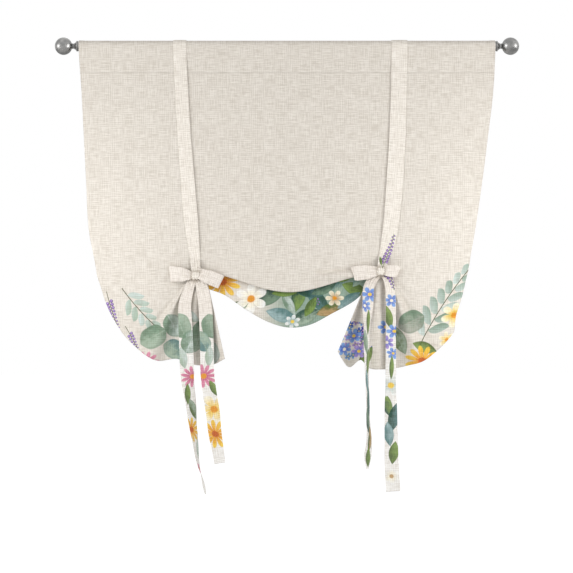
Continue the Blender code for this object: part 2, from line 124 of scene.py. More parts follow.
# Grid lines
POCKET_ROWS = 14
ROD_ROWS = 12
DROP_ROWS = 56
GATHERED_ROWS = (14, 14, 30, 10, 66)
FAN_COLUMNS = 62
BUNDLE_COLUMNS = 8
SWAG_COLUMNS = 84
PRINTED_ROWS = 24
WING_ROWS = 8 / 26
RING_COLUMNS = 33
LOOP_ROWS = 81
OVER_ROWS = 25
BACK_ROWS = 61
UNDER_ROWS = 30
KNOT_GRID = (33, 64)
TURNED_STEPS = 64
STRAP_ROWS = 150

CLOTH_RADIUS = ROD_RADIUS + SEAT_GAP + PANEL_CLOTH / 2
SEAM_Y = -0.0115
STRAP_LIFT = PANEL_CLOTH / 2 + SEAT_GAP + STRAP_CLOTH / 2
DEGREE = math.pi / 180


# The curtain's two sides, with distances across from the middle outwards. strap holds the strap's places
# across, and widths its widths, evenly spread from the rod to the knot. gather_x and gather_bend say where
# the cloth's gathers start at the rod and how late they bend towards the knot. edge_x is the side hem's
# place at the knot's height, and edge_shape how far it is drawn in to there, evenly spaced from the rod
# down. rim holds the lengths of the fan's rays, evenly spread from the level one down to the hem's angle.
LEFT = SimpleNamespace(
    name="left",
    sign=-1,
    knot_x=0.2335,
    knot_z=-0.588,
    strap=(0.275, 0.2715, 0.267, 0.2615, 0.2550, 0.2480, 0.2395, 0.2310),
    widths=(0.034, 0.034, 0.034, 0.034, 0.035, 0.036, 0.036, 0.030, 0.0215),
    gather_x=0.270,
    gather_bend=1.5,
    edge_x=0.487,
    edge_shape=(0, 0.16, 0.29, 0.42, 0.56, 1),
    rim=(
        0.2403, 0.2321, 0.2293, 0.2282, 0.2280, 0.2301, 0.2312,
        0.2329, 0.2321, 0.2148, 0.2231, 0.2222, 0.2089,
    ),
    hem_angle=102.8 * DEGREE,
)
RIGHT = SimpleNamespace(
    name="right",
    sign=1,
    knot_x=0.2390,
    knot_z=-0.577,
    strap=(0.288, 0.2872, 0.2848, 0.2818, 0.277, 0.2705, 0.2597, 0.2400),
    widths=(0.041, 0.041, 0.041, 0.042, 0.0425, 0.043, 0.0405, 0.0355, 0.0215),
    gather_x=0.288,
    gather_bend=2.8,
    edge_x=0.465,
    edge_shape=(0, 0.08, 0.275, 0.49, 0.735, 1),
    rim=(
        0.2120, 0.2086, 0.2067, 0.2063, 0.2071, 0.2083, 0.2105, 0.2143, 0.2232,
        0.2351, 0.2380, 0.2402, 0.2429, 0.2454, 0.2476, 0.2480, 0.2467, 0.2474,
        0.2469, 0.2462, 0.2427, 0.2228, 0.2445, 0.2291, 0.2122,
    ),
    hem_angle=112.3 * DEGREE,
)
SIDES = (LEFT, RIGHT)
LABELS = ("outer", "inner")
# Places of the printed looks in the panel's list, after the plain one
LEFT_WING, BAND, RIGHT_WING = 1, 2, 3


def smooth(x):
    """0 below 0, 1 above 1, and an even S between."""
    x = np.clip(x, 0.0, 1.0)
    return x * x * (3 - 2 * x)


def mix(a, b, share):
    return a + (b - a) * share


def bump_of(x):
    """A bell of height 1 and half width about 1."""
    return np.exp(-x * x)


def joined(*axes):
    """The arrays of each axis as one array of points."""
    return np.stack(np.broadcast_arrays(*axes), axis=-1)


def through(points, share):
    """Smooth curve through evenly spread points, by Catmull-Rom, at an array of shares of their number."""
    points = np.array(points, float)
    last = len(points) - 1
    at = np.clip(np.asarray(share, float) * last, 0, last)
    k = np.minimum(at.astype(int), last - 1)
    t = at - k
    if points.ndim == 2:
        t = t[..., None]
    before, start = points[np.maximum(k - 1, 0)], points[k]
    end, after = points[k + 1], points[np.minimum(k + 2, last)]
    return 0.5 * (
        2 * start
        + (end - before) * t
        + (2 * before - 5 * start + 4 * end - after) * t**2
        + (3 * start - before - 3 * end + after) * t**3
    )


# The panel


def gather_line(side, z):
    """How far out the bundle's columns are at height z: straight at first, then drawn in to the knot."""
    share = np.clip(z / side.knot_z, 0.0, 1.0)
    return mix(side.gather_x, side.knot_x, share**side.gather_bend)


def side_edge(side, z):
    """How far out the panel's side hem is above the knot's height."""
    share = np.clip(z / side.knot_z, 0.0, 1.0)
    return mix(PANEL_WIDTH / 2, side.edge_x, through(side.edge_shape, share))


# Soft creases of the hanging cloth, in mm: both ends across and up, half width, and how far it stands out
CREASES = [
    (-262, -612, -305, -668, 8, 5),
    (-246, -618, -286, -684, 7, -4),
    (-435, -700, -325, -742, 15, -4),
    (-420, -672, -330, -712, 16, 3),
    (262, -600, 296, -664, 7, 5),
    (270, -590, 330, -668, 8, -3.5),
    (40, -585, 215, -570, 3.6, -6),
    (40, -597, 215, -583, 8, 8),
    (-480, -240, -330, -480, 30, 2),
    (480, -260, 320, -470, 30, 2),
]


def crease_depth(x, z):
    """How far the creases stand out: each is a bell across its line, which fades at both ends."""
    out = np.zeros(np.broadcast(x, z).shape)
    for x0, z0, x1, z1, half_width, height in np.array(CREASES) / 1000:
        length = math.hypot(x1 - x0, z1 - z0)
        ux, uz = (x1 - x0) / length, (z1 - z0) / length
        along = (x - x0) * ux + (z - z0) * uz
        off = (x - x0) * uz - (z - z0) * ux
        fade = smooth(along / (0.35 * length)) * smooth((length - along) / (0.5 * length))
        out = out + height * fade * bump_of(off / half_width)
    return out


def front_y(x, z):
    """Depth of the panel's middle surface. It leans out over the bundles and bulges between them.

    The lean and the bulge grow with the height below the rod to the power 1.6. The bulge is a squared
    cosine between the knots, and the lean falls off smoothly from the knots to the side hems.
    """
    to_right = smooth((x + 0.12) / 0.24)
    knot_x = mix(LEFT.knot_x, RIGHT.knot_x, to_right)
    knot_z = mix(LEFT.knot_z, RIGHT.knot_z, to_right)
    share = np.clip(z / knot_z, 0.0, 1.15)
    across = np.abs(x) / knot_x
    outer_lean = mix(KNOT_FORWARD, EDGE_FORWARD, smooth((across - 1) / 1.1))
    lean = np.where(across < 1, KNOT_FORWARD, outer_lean)
    bulge = SWAG_BULGE * np.cos(np.clip(across, 0, 1) * math.pi / 2) ** 2
    top = mix(-CLOTH_RADIUS, SEAM_Y, smooth(-z / POCKET_DEPTH))
    return top - share**1.6 * (lean + bulge) - crease_depth(x, z)


def upper_x(side, kind, share, z):
    """Place across of a column above the knot's height."""
    if kind == "fan":
        start = gather_line(side, z) + BUNDLE_EXIT
        return side.sign * mix(start, side_edge(side, z), share)
    if kind == "bundle":
        return side.sign * (gather_line(side, z) + share * BUNDLE_EXIT)
    inner_left = -gather_line(LEFT, z) + BUNDLE_EXIT
    inner_right = gather_line(RIGHT, z) - BUNDLE_EXIT
    return mix(inner_left, inner_right, (share + 1) / 2)


def gathered_share(share):
    """0 at the swag's two ends, where the cloth is inside the straps' loops, and 1 where it hangs free."""
    return smooth((1 - np.abs(share)) / 0.16)


def gather_top(side, share):
    """Height at which each column's gathered rows start."""
    if side is None:
        knots = mix(LEFT.knot_z, RIGHT.knot_z, (share + 1) / 2)
        return knots + mix(BUNDLE_TOP, SWAG_TOP, gathered_share(share))
    return side.knot_z + BUNDLE_TOP


def upper_rows(side, kind, share):
    """Rows from the pocket's back hem, over the rod in a half circle, and straight down to the gathers.

    Each block is rows by columns by (x, y, z, v), where v is the height that the print is laid out by.
    """
    back = np.linspace(-POCKET_DEPTH, 0, POCKET_ROWS, endpoint=False)[:, None]
    back_y = mix(CLOTH_RADIUS, SEAM_Y + PANEL_CLOTH + SEAT_GAP, smooth(-back / POCKET_DEPTH))
    turn = np.linspace(0, math.pi, ROD_ROWS, endpoint=False)[:, None]
    over_x = upper_x(side, kind, share, 0 * turn)
    over_y, over_z = CLOTH_RADIUS * np.cos(turn), CLOTH_RADIUS * np.sin(turn)
    down = gather_top(side, share) * (np.arange(DROP_ROWS) / DROP_ROWS)[:, None] ** 1.15
    down_x = upper_x(side, kind, share, down)
    return np.concatenate(
        [
            joined(upper_x(side, kind, share, back), back_y, back, math.pi * CLOTH_RADIUS - back),
            joined(over_x, over_y, over_z, CLOTH_RADIUS * (math.pi - turn)),
            joined(down_x, front_y(down_x, down), down, down),
        ]
    )


def bundle_front(side):
    """Depth of the bundle's front layer."""
    return float(front_y(np.array(side.sign * side.knot_x), side.knot_z))


def bundle_depth(row_share):
    """How far behind the front layer a gathered row lies inside the strap's loop."""
    return BUNDLE_DEPTH * row_share


def bundle_height(row_share, knot_z, foot):
    """The gathered rows inside the strap's loop, evenly from its top to its foot."""
    return knot_z + mix(BUNDLE_TOP, -foot, row_share)


def pleat_rows(heights):
    """The swag's five stretches: down to the fold, round it, up behind, round, and down to the hem.

    Gives each gathered row's height and its layer, 0 in front and 2 for the hem's. A turn is a half circle
    that goes from one layer to the next, and dips past its own height by its radius.
    """
    levels = ["row", "fold", "fold", "rise", "rise", "hem"]
    layers = [0, 0, 1, 1, 2, 2]
    z_rows, layer_rows = [], []
    for part, count in enumerate(GATHERED_ROWS):
        last = part == len(GATHERED_ROWS) - 1
        along = np.linspace(0, 1, count, endpoint=last)[:, None]
        z = mix(heights[levels[part]], heights[levels[part + 1]], along)
        layer = layers[part] + 0 * z
        if layers[part] != layers[part + 1]:
            layer = layer + (1 - np.cos(math.pi * along)) / 2
            way = -1 if levels[part] == "fold" else 1
            z = z + way * PLEAT_RADIUS * np.sin(math.pi * along)
        z_rows.append(z)
        layer_rows.append(layer)
    return np.concatenate(z_rows), np.concatenate(layer_rows)


def swag_rows(share):
    """The swag below its gathers' top. The fold hangs by a cosine, the hem by its table."""
    top = gather_top(None, share)
    knots = mix(LEFT.knot_z, RIGHT.knot_z, (share + 1) / 2)
    sag = (1 + np.cos(math.pi * share)) / 2
    heights = {
        "row": top,
        "fold": mix(*FOLD_ENDS, (share + 1) / 2) - FOLD_SAG * sag,
        "rise": knots + PLEAT_RISE * (1 - np.abs(share) ** 5),
        "hem": knots - mix(SWAG_FOOT, HEM_SAG, through(HEM_SHAPE, (share + 1) / 2)),
    }
    z, layer = pleat_rows(heights)
    row_share = np.linspace(0, 1, len(z))[:, None]
    gathered = gathered_share(share)
    foot = mix(BUNDLE_FOOT, SWAG_FOOT, smooth((1 - np.abs(share)) / 0.05))
    z = mix(bundle_height(row_share, knots, foot), z, gathered)
    x = upper_x(None, "swag", share, LEFT.knot_z)
    behind = mix(bundle_depth(row_share), 2 * PLEAT_RADIUS * layer, gathered)
    return joined(x, front_y(x, z) + behind, z, z)


def fan_rows(side, share):
    """The fan below the knot's height: rays from the bundle that turn from level to the hem's angle.

    Fewer rows make the smooth wing, the first half of the turn, than the folds. A point's ray is the share
    times the rim's length there. The folds are a sine of the turn, which grows from the wing and along the
    ray, and near the bundle the cloth is held at the bundle's depths.
    """
    row_share = np.linspace(0, 1, sum(GATHERED_ROWS))[:, None]
    folds = (row_share - WING_ROWS) / (1 - WING_ROWS)
    turn = 0.5 * np.where(row_share < WING_ROWS, row_share / WING_ROWS, 1 + folds)
    ray = share * through(side.rim, turn)
    start_z = bundle_height(row_share, side.knot_z, BUNDLE_FOOT)
    slid = smooth(share * 30) * smooth((turn - 0.6) / 0.4)
    angle = turn * side.hem_angle
    x = side.sign * (side.knot_x + BUNDLE_EXIT - FAN_SLIDE * slid + ray * np.cos(angle))
    z = start_z - ray * np.sin(angle)
    wave = np.clip((turn - FOLD_START) / (1 - FOLD_START), 0, 1)
    depth = FOLD_DEPTH * smooth(wave * 4) * np.tanh(ray / 0.06)
    fold = depth * np.sin(2 * math.pi * FOLD_WAVES * wave)
    held = mix(1 - smooth(ray / 0.12), 1 - smooth(ray / 0.05), smooth(wave * 3))
    lower = front_y(x, side.knot_z) - crease_depth(x, z) + crease_depth(x, side.knot_z)
    free_y = lower - FAN_FORWARD * smooth(wave)
    held_y = bundle_front(side) + bundle_depth(row_share) * (1 - slid)
    return joined(x, mix(free_y + fold, held_y, held), z, z)


def bundle_rows(side, share):
    """The gathered rows where they pass through the strap's loop, one behind the other."""
    row_share = np.linspace(0, 1, sum(GATHERED_ROWS))[:, None]
    x = side.sign * (side.knot_x + share * BUNDLE_EXIT)
    z = bundle_height(row_share, side.knot_z, BUNDLE_FOOT)
    return joined(x, bundle_front(side) + bundle_depth(row_share), z, z)


def panel_grid():
    """All the panel's points, rows down by columns across, and how far in from the hem each one is."""
    fan = (np.arange(1, FAN_COLUMNS + 1) / FAN_COLUMNS)[None, :] ** 1.1
    bundle = np.linspace(-1, 1, BUNDLE_COLUMNS)[None, :]
    swag = np.sin(math.pi * (np.arange(1, SWAG_COLUMNS) / SWAG_COLUMNS - 0.5))[None, :]
    gathered = {"fan": fan_rows, "bundle": bundle_rows}
    blocks, hems = [], []
    for side, kind, share in [
        (LEFT, "fan", fan[:, ::-1]),
        (LEFT, "bundle", bundle[:, ::-1]),
        (None, "swag", swag),
        (RIGHT, "bundle", bundle),
        (RIGHT, "fan", fan),
    ]:
        rows = swag_rows(share) if side is None else gathered[kind](side, share)
        block = np.concatenate([upper_rows(side, kind, share), rows])
        blocks.append(block)
        hems.append(hem_distance(side, kind, share, block))
    return np.concatenate(blocks, axis=1), np.concatenate(hems, axis=1)


def hem_distance(side, kind, share, block):
    """How far a point is from the nearest hem: the side hem across, or the bottom hem along its column."""
    steps = np.linalg.norm(np.diff(block[..., :3], axis=0), axis=-1)
    below = np.zeros(block.shape[:2])
    below[:-1] = np.cumsum(steps[::-1], axis=0)[::-1]
    if kind != "fan":
        return below
    start = block[:, :1, :3] if side.sign > 0 else block[:, -1:, :3]
    reach = np.linalg.norm(block[..., :3] - start, axis=-1) / share
    return np.minimum(below, reach * (1 - share))


def grid_faces(rows, columns, closed=False):
    """Quads of a grid of points, row after row. A closed one joins its last column to its first."""
    row = np.arange(rows - 1)[:, None]
    column = np.arange(columns if closed else columns - 1)[None, :]
    beside = (column + 1) % columns
    quads = [
        row * columns + column,
        row * columns + beside,
        (row + 1) * columns + beside,
        (row + 1) * columns + column,
    ]
    return np.stack(quads, axis=-1).reshape(-1, 4)


def linked(name, data):
    """A new object in the scene."""
    made = bpy.data.objects.new(name, data)
    bpy.context.scene.collection.objects.link(made)
    return made


def mesh_object(name, points, faces, uv=None, looks=(), merge=None, ends=()):
    """A smooth mesh object from arrays of points, quads and UV places, one for each point.

    A closed piece gives the distance at which its points are merged, or the rings of points at its open
    ends, which one face each closes. Its faces are then turned outwards.
    """
    mesh = bpy.data.meshes.new(name)
    mesh.from_pydata(points.reshape(-1, 3).tolist(), [], faces.tolist())
    if uv is not None:
        corner = np.zeros(len(mesh.loops), np.int32)
        mesh.loops.foreach_get("vertex_index", corner)
        layer = mesh.uv_layers.new(name="cloth")
        layer.uv.foreach_set("vector", uv.reshape(-1, 2)[corner].ravel().astype(np.float32))
    if merge or ends:
        shape = bmesh.new()
        shape.from_mesh(mesh)
        shape.verts.ensure_lookup_table()
        for ring in ends:
            shape.faces.new([shape.verts[k] for k in ring])
        if merge:
            bmesh.ops.remove_doubles(shape, verts=shape.verts, dist=merge)
        bmesh.ops.recalc_face_normals(shape, faces=shape.faces)
        shape.to_mesh(mesh)
        shape.free()
    mesh.shade_smooth()
    for look in looks:
        mesh.materials.append(look)
    return linked(name, mesh)


def panel(wrong_looks, right_looks):
    """The linen panel, a closed sheet whose hems are thicker than the rest.

    Its grid faces back, so the shell that the thickness adds is the cloth's right side.
    """
    grid, hem = panel_grid()
    rows, columns = grid.shape[:2]
    uv = grid[..., [0, 3]]
    looks = [*wrong_looks, *right_looks]
    made = mesh_object("linen_panel", grid[..., :3], grid_faces(rows, columns), uv, looks)
    upper = POCKET_ROWS + ROD_ROWS + DROP_ROWS
    fan = FAN_COLUMNS + BUNDLE_COLUMNS // 2
    row = np.arange(rows - 1)[:, None]
    column = np.arange(columns - 1)[None, :]
    zone = np.zeros((rows - 1, columns - 1), np.int32)
    wings = row >= upper - PRINTED_ROWS
    zone[wings & (column < fan)] = LEFT_WING
    folded = upper + GATHERED_ROWS[0] + GATHERED_ROWS[1] // 2
    zone[(row >= folded) & (column >= fan) & (column < columns - 1 - fan)] = BAND
    zone[wings & (column >= columns - 1 - fan)] = RIGHT_WING
    made.data.polygons.foreach_set("material_index", zone.ravel())
    weight = 1 - smooth((hem.ravel() - HEM_WIDTH) / HEM_STEP)
    group = made.vertex_groups.new(name="hem")
    for level in np.unique(np.round(weight, 2)):
        inside = np.flatnonzero(np.abs(weight - level) < 0.005)
        group.add(inside.tolist(), float(level), "REPLACE")
    solid = made.modifiers.new("cloth thickness", "SOLIDIFY")
    solid.thickness = HEM_CLOTH
    solid.offset = 0.0
    solid.use_even_offset = False
    solid.material_offset = len(wrong_looks)
    solid.material_offset_rim = len(wrong_looks)
    solid.vertex_group = "hem"
    solid.thickness_vertex_group = PANEL_CLOTH / HEM_CLOTH
    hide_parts("curtain_panel")
    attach(made, "root")
    return made


# The ties


def unit(vectors):
    return vectors / np.linalg.norm(vectors, axis=-1, keepdims=True)


def ribbon(name, path, across, width, look, ripple):
    """A flat sewn strap: a section carried along a path.

    Across the strap, s runs from -1 to 1, and the half thickness is the square root of 1 - s to the 8th,
    with a shallow dip at the two rows of stitches. across is the direction of the width at each point.
    ripple is the height there of the lengthwise gathers, a cosine with four waves across the strap.
    """
    lengths = np.linalg.norm(np.diff(path, axis=0), axis=1)
    along = np.concatenate([[0.0], np.cumsum(lengths)])
    tangent = unit(np.gradient(path, axis=0))
    normal = unit(np.cross(tangent, across))
    across = unit(np.cross(normal, tangent))
    s = np.sin(np.linspace(-90, 90, RING_COLUMNS) * DEGREE)
    half = np.sqrt(1 - s**8) * (1 - STITCH_DIP * bump_of((np.abs(s) - STITCHES_AT) / 0.06))
    ring_s = np.concatenate([s, s[-2:0:-1]])
    ring_h = np.concatenate([half, -half[-2:0:-1]]) * STRAP_CLOTH / 2
    waves = np.cos(4 * math.pi * ring_s + 0.6) * (1 - ring_s**4)
    height = ring_h + (ripple + 0 * width)[:, None] * waves
    ring_x = width[:, None] / 2 * ring_s
    points = path[:, None] + across[:, None] * ring_x[..., None] + normal[:, None] * height[..., None]
    rows, columns = points.shape[:2]
    faces = grid_faces(rows, columns, closed=True)
    ends = [range(columns), range((rows - 1) * columns, rows * columns)]
    uv = joined(ring_x, along[:, None])
    return mesh_object(name, points, faces, uv, [look], ends=ends), float(along[-1])


def knot_middle(side):
    """Depth of the knot's middle."""
    return bundle_front(side) - STRAP_LIFT - KNOT_SIZE[1] / 2


def strap(side, look):
    """The strap: up the panel's front from the knot, over the rod, down the back and round the bundle."""
    knot_y, knot_z = knot_middle(side), side.knot_z
    over = CLOTH_RADIUS + STRAP_LIFT
    back_y = bundle_front(side) + BUNDLE_DEPTH + BEHIND_BUNDLE
    foot = knot_z - BUNDLE_FOOT - 0.002
    z = np.linspace(knot_z + STRAP_END, 0, STRAP_ROWS)
    x = through(side.strap, z / knot_z)
    lifted = smooth(-z / 0.10) * smooth((z - knot_z - 0.03) / 0.06)
    flat_y = front_y(side.sign * x, z) - STRAP_LIFT - EDGE_LIFT / 2 * lifted
    into_knot = smooth((knot_z + NECK_START - z) / NECK_LENGTH)
    front = joined(x, mix(flat_y, knot_y - KNOT_SIZE[1] / 2 + STRAP_TUCK, into_knot), z)
    turn = np.linspace(math.pi, 0, OVER_ROWS)[1:]
    arc = joined(side.strap[0], over * np.cos(turn), over * np.sin(turn))
    share = np.linspace(0, 1, BACK_ROWS)[1:]
    back_x = mix(through(side.strap, share), side.knot_x, share**4)
    back = joined(back_x, mix(over, back_y, share), knot_z * share)
    round_bundle = [
        (back_y, knot_z),
        (back_y - 0.001, knot_z - 0.008),
        (back_y - 0.004, foot),
        (mix(back_y, knot_y, 0.5), foot - 0.001),
        (knot_y + 0.004, foot),
        (knot_y + 0.002, knot_z - 0.008),
    ]
    under = joined(side.knot_x, *through(round_bundle, np.linspace(0, 1, UNDER_ROWS))[1:].T)
    path = np.concatenate([front, arc, back, under])
    front_width = through(side.widths, np.clip(z / knot_z, 0, 1))
    back_width = mix(side.widths[0], NECKED_STRAP, smooth(share**4))
    arc_width = np.full(len(arc), side.widths[0])
    under_width = np.full(len(under), NECKED_STRAP)
    width = np.concatenate([front_width, arc_width, back_width, under_width])
    path[:, 0] *= side.sign
    across = np.tile([1.0, 0.0, 0.0], (len(path), 1))
    across[: len(z), 1] = side.sign * EDGE_LIFT * lifted / front_width
    ripple = np.zeros(len(path))
    ripple[: len(z)] = NECK_GATHERS * smooth((knot_z + GATHERS_START - z) / GATHERS_LENGTH)
    return ribbon(f"strap_{side.name}", path, across, width, look, ripple)


def knot(side, look):
    """The knot's wrap: a rounded pillow, each section a superellipse, with slanting folds on its front."""
    v_steps, u_steps = KNOT_GRID
    u = np.linspace(0, 2 * math.pi, u_steps, endpoint=False)[None, :]
    v = np.linspace(-1, 1, v_steps)[:, None]

    def round_power(wave, power):
        return np.sign(wave) * np.abs(wave) ** power

    waist = 1 - 0.10 * bump_of(v / 0.5)
    end = np.sqrt(np.clip(1 - np.abs(v) ** 5, 0, 1))
    folds = 1 + 0.06 * np.sin(9 * v + 2.2 * np.sin(u)) * end
    width, depth, height = KNOT_SIZE
    x = side.sign * side.knot_x + v * width / 2 + 0.0012 * np.sin(u)
    y = knot_middle(side) + depth / 2 * end * folds * round_power(np.cos(u), 0.7)
    z = side.knot_z + height / 2 * end * waist * folds * round_power(np.sin(u), 0.75)
    faces = grid_faces(v_steps, u_steps, closed=True)
    uv = joined(u * 0.010, v * width / 2)
    return mesh_object(f"knot_{side.name}", joined(x, y, z), faces, uv, [look], merge=1e-6)


# Reach, rise at the knot, tilt, how far the end leans, widths at the knot and at the end, and how far the
# end is drawn in, for the outer loop and the inner one
LOOPS = {
    "left": (
        (0.0645, -0.001, 0.085, -0.17, 0.018, 0.0390, 0.02),
        (0.0650, 0.009, -0.40, -0.13, 0.027, 0.0365, 0.03),
    ),
    "right": (
        (0.0450, 0.002, -0.07, -0.38, 0.024, 0.0310, 0.14),
        (0.0700, 0.001, -0.11, -0.27, 0.023, 0.0385, 0.10),
    ),
}


def loop(side, label, way, shape, look):
    """A bow's loop: out in front, round its end and back behind, in a puffed U with its width upright.

    Its depth follows the cosine of the turn, and is widest half way along. Its width swells from the
    knot over the first half of its reach, and is drawn in a little where it turns back.
    """
    reach, rise, tilt, lean, near, far, tuck = shape
    turn = np.linspace(0, math.pi, LOOP_ROWS)
    along = reach * np.sin(turn) ** 0.8
    share = along / reach
    puff = 0.45 + 0.75 * np.sin(math.pi * np.clip(share, 0, 1) ** 0.9)
    depth = -LOOP_THICKNESS / 2 * np.cos(turn) * puff
    sideways = side.sign * way
    path = joined(
        side.sign * side.knot_x + sideways * along,
        knot_middle(side) + depth - 0.001 * smooth(share),
        side.knot_z + rise + tilt * along,
    )
    slope = tilt + lean * smooth((share - 0.3) / 0.6)
    across = joined(-sideways * slope, 0.0, 1.0)
    swell = mix(smooth((share - 0.1) / 0.45), share, 0.25)
    width = mix(near, far, swell) * (1 - tuck * smooth((share - 0.86) / 0.14))
    ripple = GATHER_HEIGHT * (1 - smooth((share - 0.15) / 0.5))
    return ribbon(f"loop_{label}_{side.name}", path, across, width, look, ripple)


# Each tail hangs by points down its middle: how far out from the knot, in front of it and below it the
# point is and how wide the strap looks there, in mm, and by how many degrees its width is turned away.
TAILS = {
    "outer_left": [
        (2, -7, 4, 18, 0), (14, -3, 27, 24, 0), (26, 9, 73, 32, 5), (25.5, 9, 120, 35, 0),
        (23, 9, 178, 36, -5), (21.5, 7, 225, 36, 8), (19.5, 3, 271, 36, 26), (12, 1, 322, 36, 41),
        (7, 1, 375, 36, 57), (0, 0, 425, 36, 68), (-7, 0, 478, 36, 82), (-18, -1, 520, 34, 100),
        (-26, -2, 558, 8, 118),
    ],
    "inner_left": [
        (-2, -6, 4, 18, 0), (-15, -2, 26, 30, -8), (-24.5, 8, 73, 34, -4), (-27.5, 9, 115, 35, 4),
        (-29.5, 9, 178, 35, 0), (-30.5, 6, 245, 35, -5), (-36, 2, 297, 36, 0), (-44.5, 0, 350, 36, 8),
        (-50, 0, 402, 34, 6), (-56.5, 0, 440, 31, 0), (-62.5, 0, 479, 28, 0),
    ],
    "outer_right": [
        (3, -7, 4, 18, 0), (19, -3, 22, 24, 4), (25, 8, 70, 25, 0), (25.3, 9, 120, 26, -5),
        (25.1, 9, 180, 26, 0), (25.1, 9, 240, 27, 5), (25.2, 4, 300, 28, 0), (25.6, 1, 350, 32, -5),
        (26.5, 0, 430, 34, 0), (28, 0, 495, 37, 5), (32, 0, 562, 37, 0),
    ],
    "inner_right": [
        (-3, -6, 4, 18, 0), (-21, -3, 22, 26, -8), (-31.5, 8, 46, 28, -6), (-33, 12, 80, 30, 20),
        (-36, 21, 136, 34, 58), (-37, 23, 190, 35, 64), (-36, 21, 240, 36, 70), (-34.5, 12, 300, 36, 74),
        (-32, 4, 380, 36, 73), (-30, 0, 430, 36, 66), (-33, 0, 470, 32, 52), (-34, 0, 504, 8, 45),
    ],
}


def tail(side, label, look):
    """A hanging tail: the curve through its route's points, in front of the jabot."""
    name = f"{label}_{side.name}"
    route = np.array(TAILS[name]) / (1000, 1000, 1000, 1000, 1)
    out, forward, drop, width, turn = through(route, np.linspace(0, 1, STRAP_ROWS)).T
    y = knot_middle(side) - 0.002 - forward
    path = joined(side.sign * (side.knot_x + out), y, side.knot_z - drop)
    across = joined(np.cos(turn * DEGREE), np.sin(turn * DEGREE), 0.0)
    ripple = GATHER_HEIGHT * (1 - smooth(drop / 0.07))
    return ribbon(f"tail_{name}", path, across, width, look, ripple)


def tie(side, knot_look, strap_look, loop_look, tail_looks):
    """One tie: its strap, knot, two loops and two tails, which stand for the frame's one solid."""
    wrap = knot(side, knot_look)
    sheets = [strap(side, strap_look)]
    for label, way, shape in zip(LABELS, (1, -1), LOOPS[side.name], strict=True):
        sheets.append(loop(side, label, way, shape, loop_look))
    for label, look in zip(LABELS, tail_looks, strict=True):
        sheets.append(tail(side, label, look))
    for piece in [wrap, *(sheet for sheet, _ in sheets)]:
        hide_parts(f"tie_{side.name}")
        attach(piece, "root")
    for k, (piece, length) in enumerate(sheets):
        held_by = ["linen_panel", "curtain_rod"] if k == 0 else [wrap.name]
        [wrap] if k == 0 else ()


# The rod and its finials


def turned(name, profile, look):
    """A turned piece: a closed profile of (x, radius), carried round the X axis."""
    x, radius = np.array(profile, float).T[..., None]
    angle = np.linspace(0, 2 * math.pi, TURNED_STEPS, endpoint=False)
    points = joined(x, radius * np.cos(angle), radius * np.sin(angle))
    faces = grid_faces(len(x), TURNED_STEPS, closed=True)
    made = mesh_object(name, points, faces, looks=[look], merge=1e-7)
    made.data.set_sharp_from_angle(angle=35 * DEGREE)
    return made


def finial_profile():
    """Ball, neck, flange and spigot, from the tip inwards, as (distance out from the rod's end, radius)."""
    tip = FINIAL_TIP - ROD_HALF
    centre = tip - BALL_RADIUS
    neck, flange, flange_length = 0.0062, 0.0136, 0.0035
    foot_turn = math.pi - math.asin(neck / BALL_RADIUS)
    turn = np.linspace(0, foot_turn, 40)
    ball = joined(centre + BALL_RADIUS * np.cos(turn), BALL_RADIUS * np.sin(turn))
    share = np.linspace(0, 1, 16)[1:]
    collar = 0.0012 * bump_of((share - 0.12) / 0.08)
    radius = neck + collar + (flange - 0.0015 - neck) * share**2.4
    neck_part = joined(mix(ball[-1, 0], flange_length, share), radius)
    rounding = 0.0008
    turn = np.linspace(0, math.pi / 2, 6)
    rim = joined(flange_length - rounding * (1 - np.cos(turn)), flange - rounding * (1 - np.sin(turn)))
    spigot, spigot_length = ROD_RADIUS - ROD_WALL - CHAMFER, 0.022
    inner = [(0.0008, flange), (0.0003, flange - 0.0006), (0.0003, spigot)]
    end = [(-spigot_length, spigot), (-spigot_length, 0.0)]
    return np.concatenate([ball, neck_part, rim, inner, end])


def rod_and_finials(look):
    """The rod, a plain tube open at both ends, and a turned finial that plugs each end."""
    bore = ROD_RADIUS - ROD_WALL
    end, edge = ROD_HALF - CHAMFER, ROD_RADIUS - CHAMFER
    outside = [(-ROD_HALF, edge), (-end, ROD_RADIUS), (end, ROD_RADIUS), (ROD_HALF, edge)]
    tube = [(-ROD_HALF, bore), *outside, (ROD_HALF, bore), (-ROD_HALF, bore)]
    pieces = [(turned("curtain_rod", tube, look), "rod")]
    for side in SIDES:
        profile = finial_profile()
        profile[:, 0] = side.sign * (ROD_HALF + profile[:, 0])
        name = f"finial_{side.name}"
        pieces.append((turned(f"ball_{name}", profile, look), name))
    for piece, node in pieces:
        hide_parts(node)
        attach(piece, "root")


# Materials


def srgb(red, green, blue):
    """A colour as seen, from 0 to 255, made linear."""
    seen = np.array([red, green, blue]) / 255
    linear = np.where(seen <= 0.04045, seen / 12.92, ((seen + 0.055) / 1.055) ** 2.4)
    return (*linear.tolist(), 1.0)


class Value:
    """A node's output. Arithmetic and comparisons with it add the Math nodes for them."""

    def __init__(self, tree, socket):
        self.tree = tree
        self.socket = socket

    def math(self, operation, other=0.0):
        return self.tree.get("Math", {0: self, 1: other}, operation=operation)

    def __rsub__(self, other):
        return self.tree.get("Math", {0: other, 1: self}, operation="SUBTRACT")

    __add__ = partialmethod(math, "ADD")
    __sub__ = partialmethod(math, "SUBTRACT")
    __mul__ = partialmethod(math, "MULTIPLY")
    __truediv__ = partialmethod(math, "DIVIDE")
    __pow__ = partialmethod(math, "POWER")
    __abs__ = partialmethod(math, "ABSOLUTE")
    __gt__ = partialmethod(math, "GREATER_THAN")
    __lt__ = partialmethod(math, "LESS_THAN")


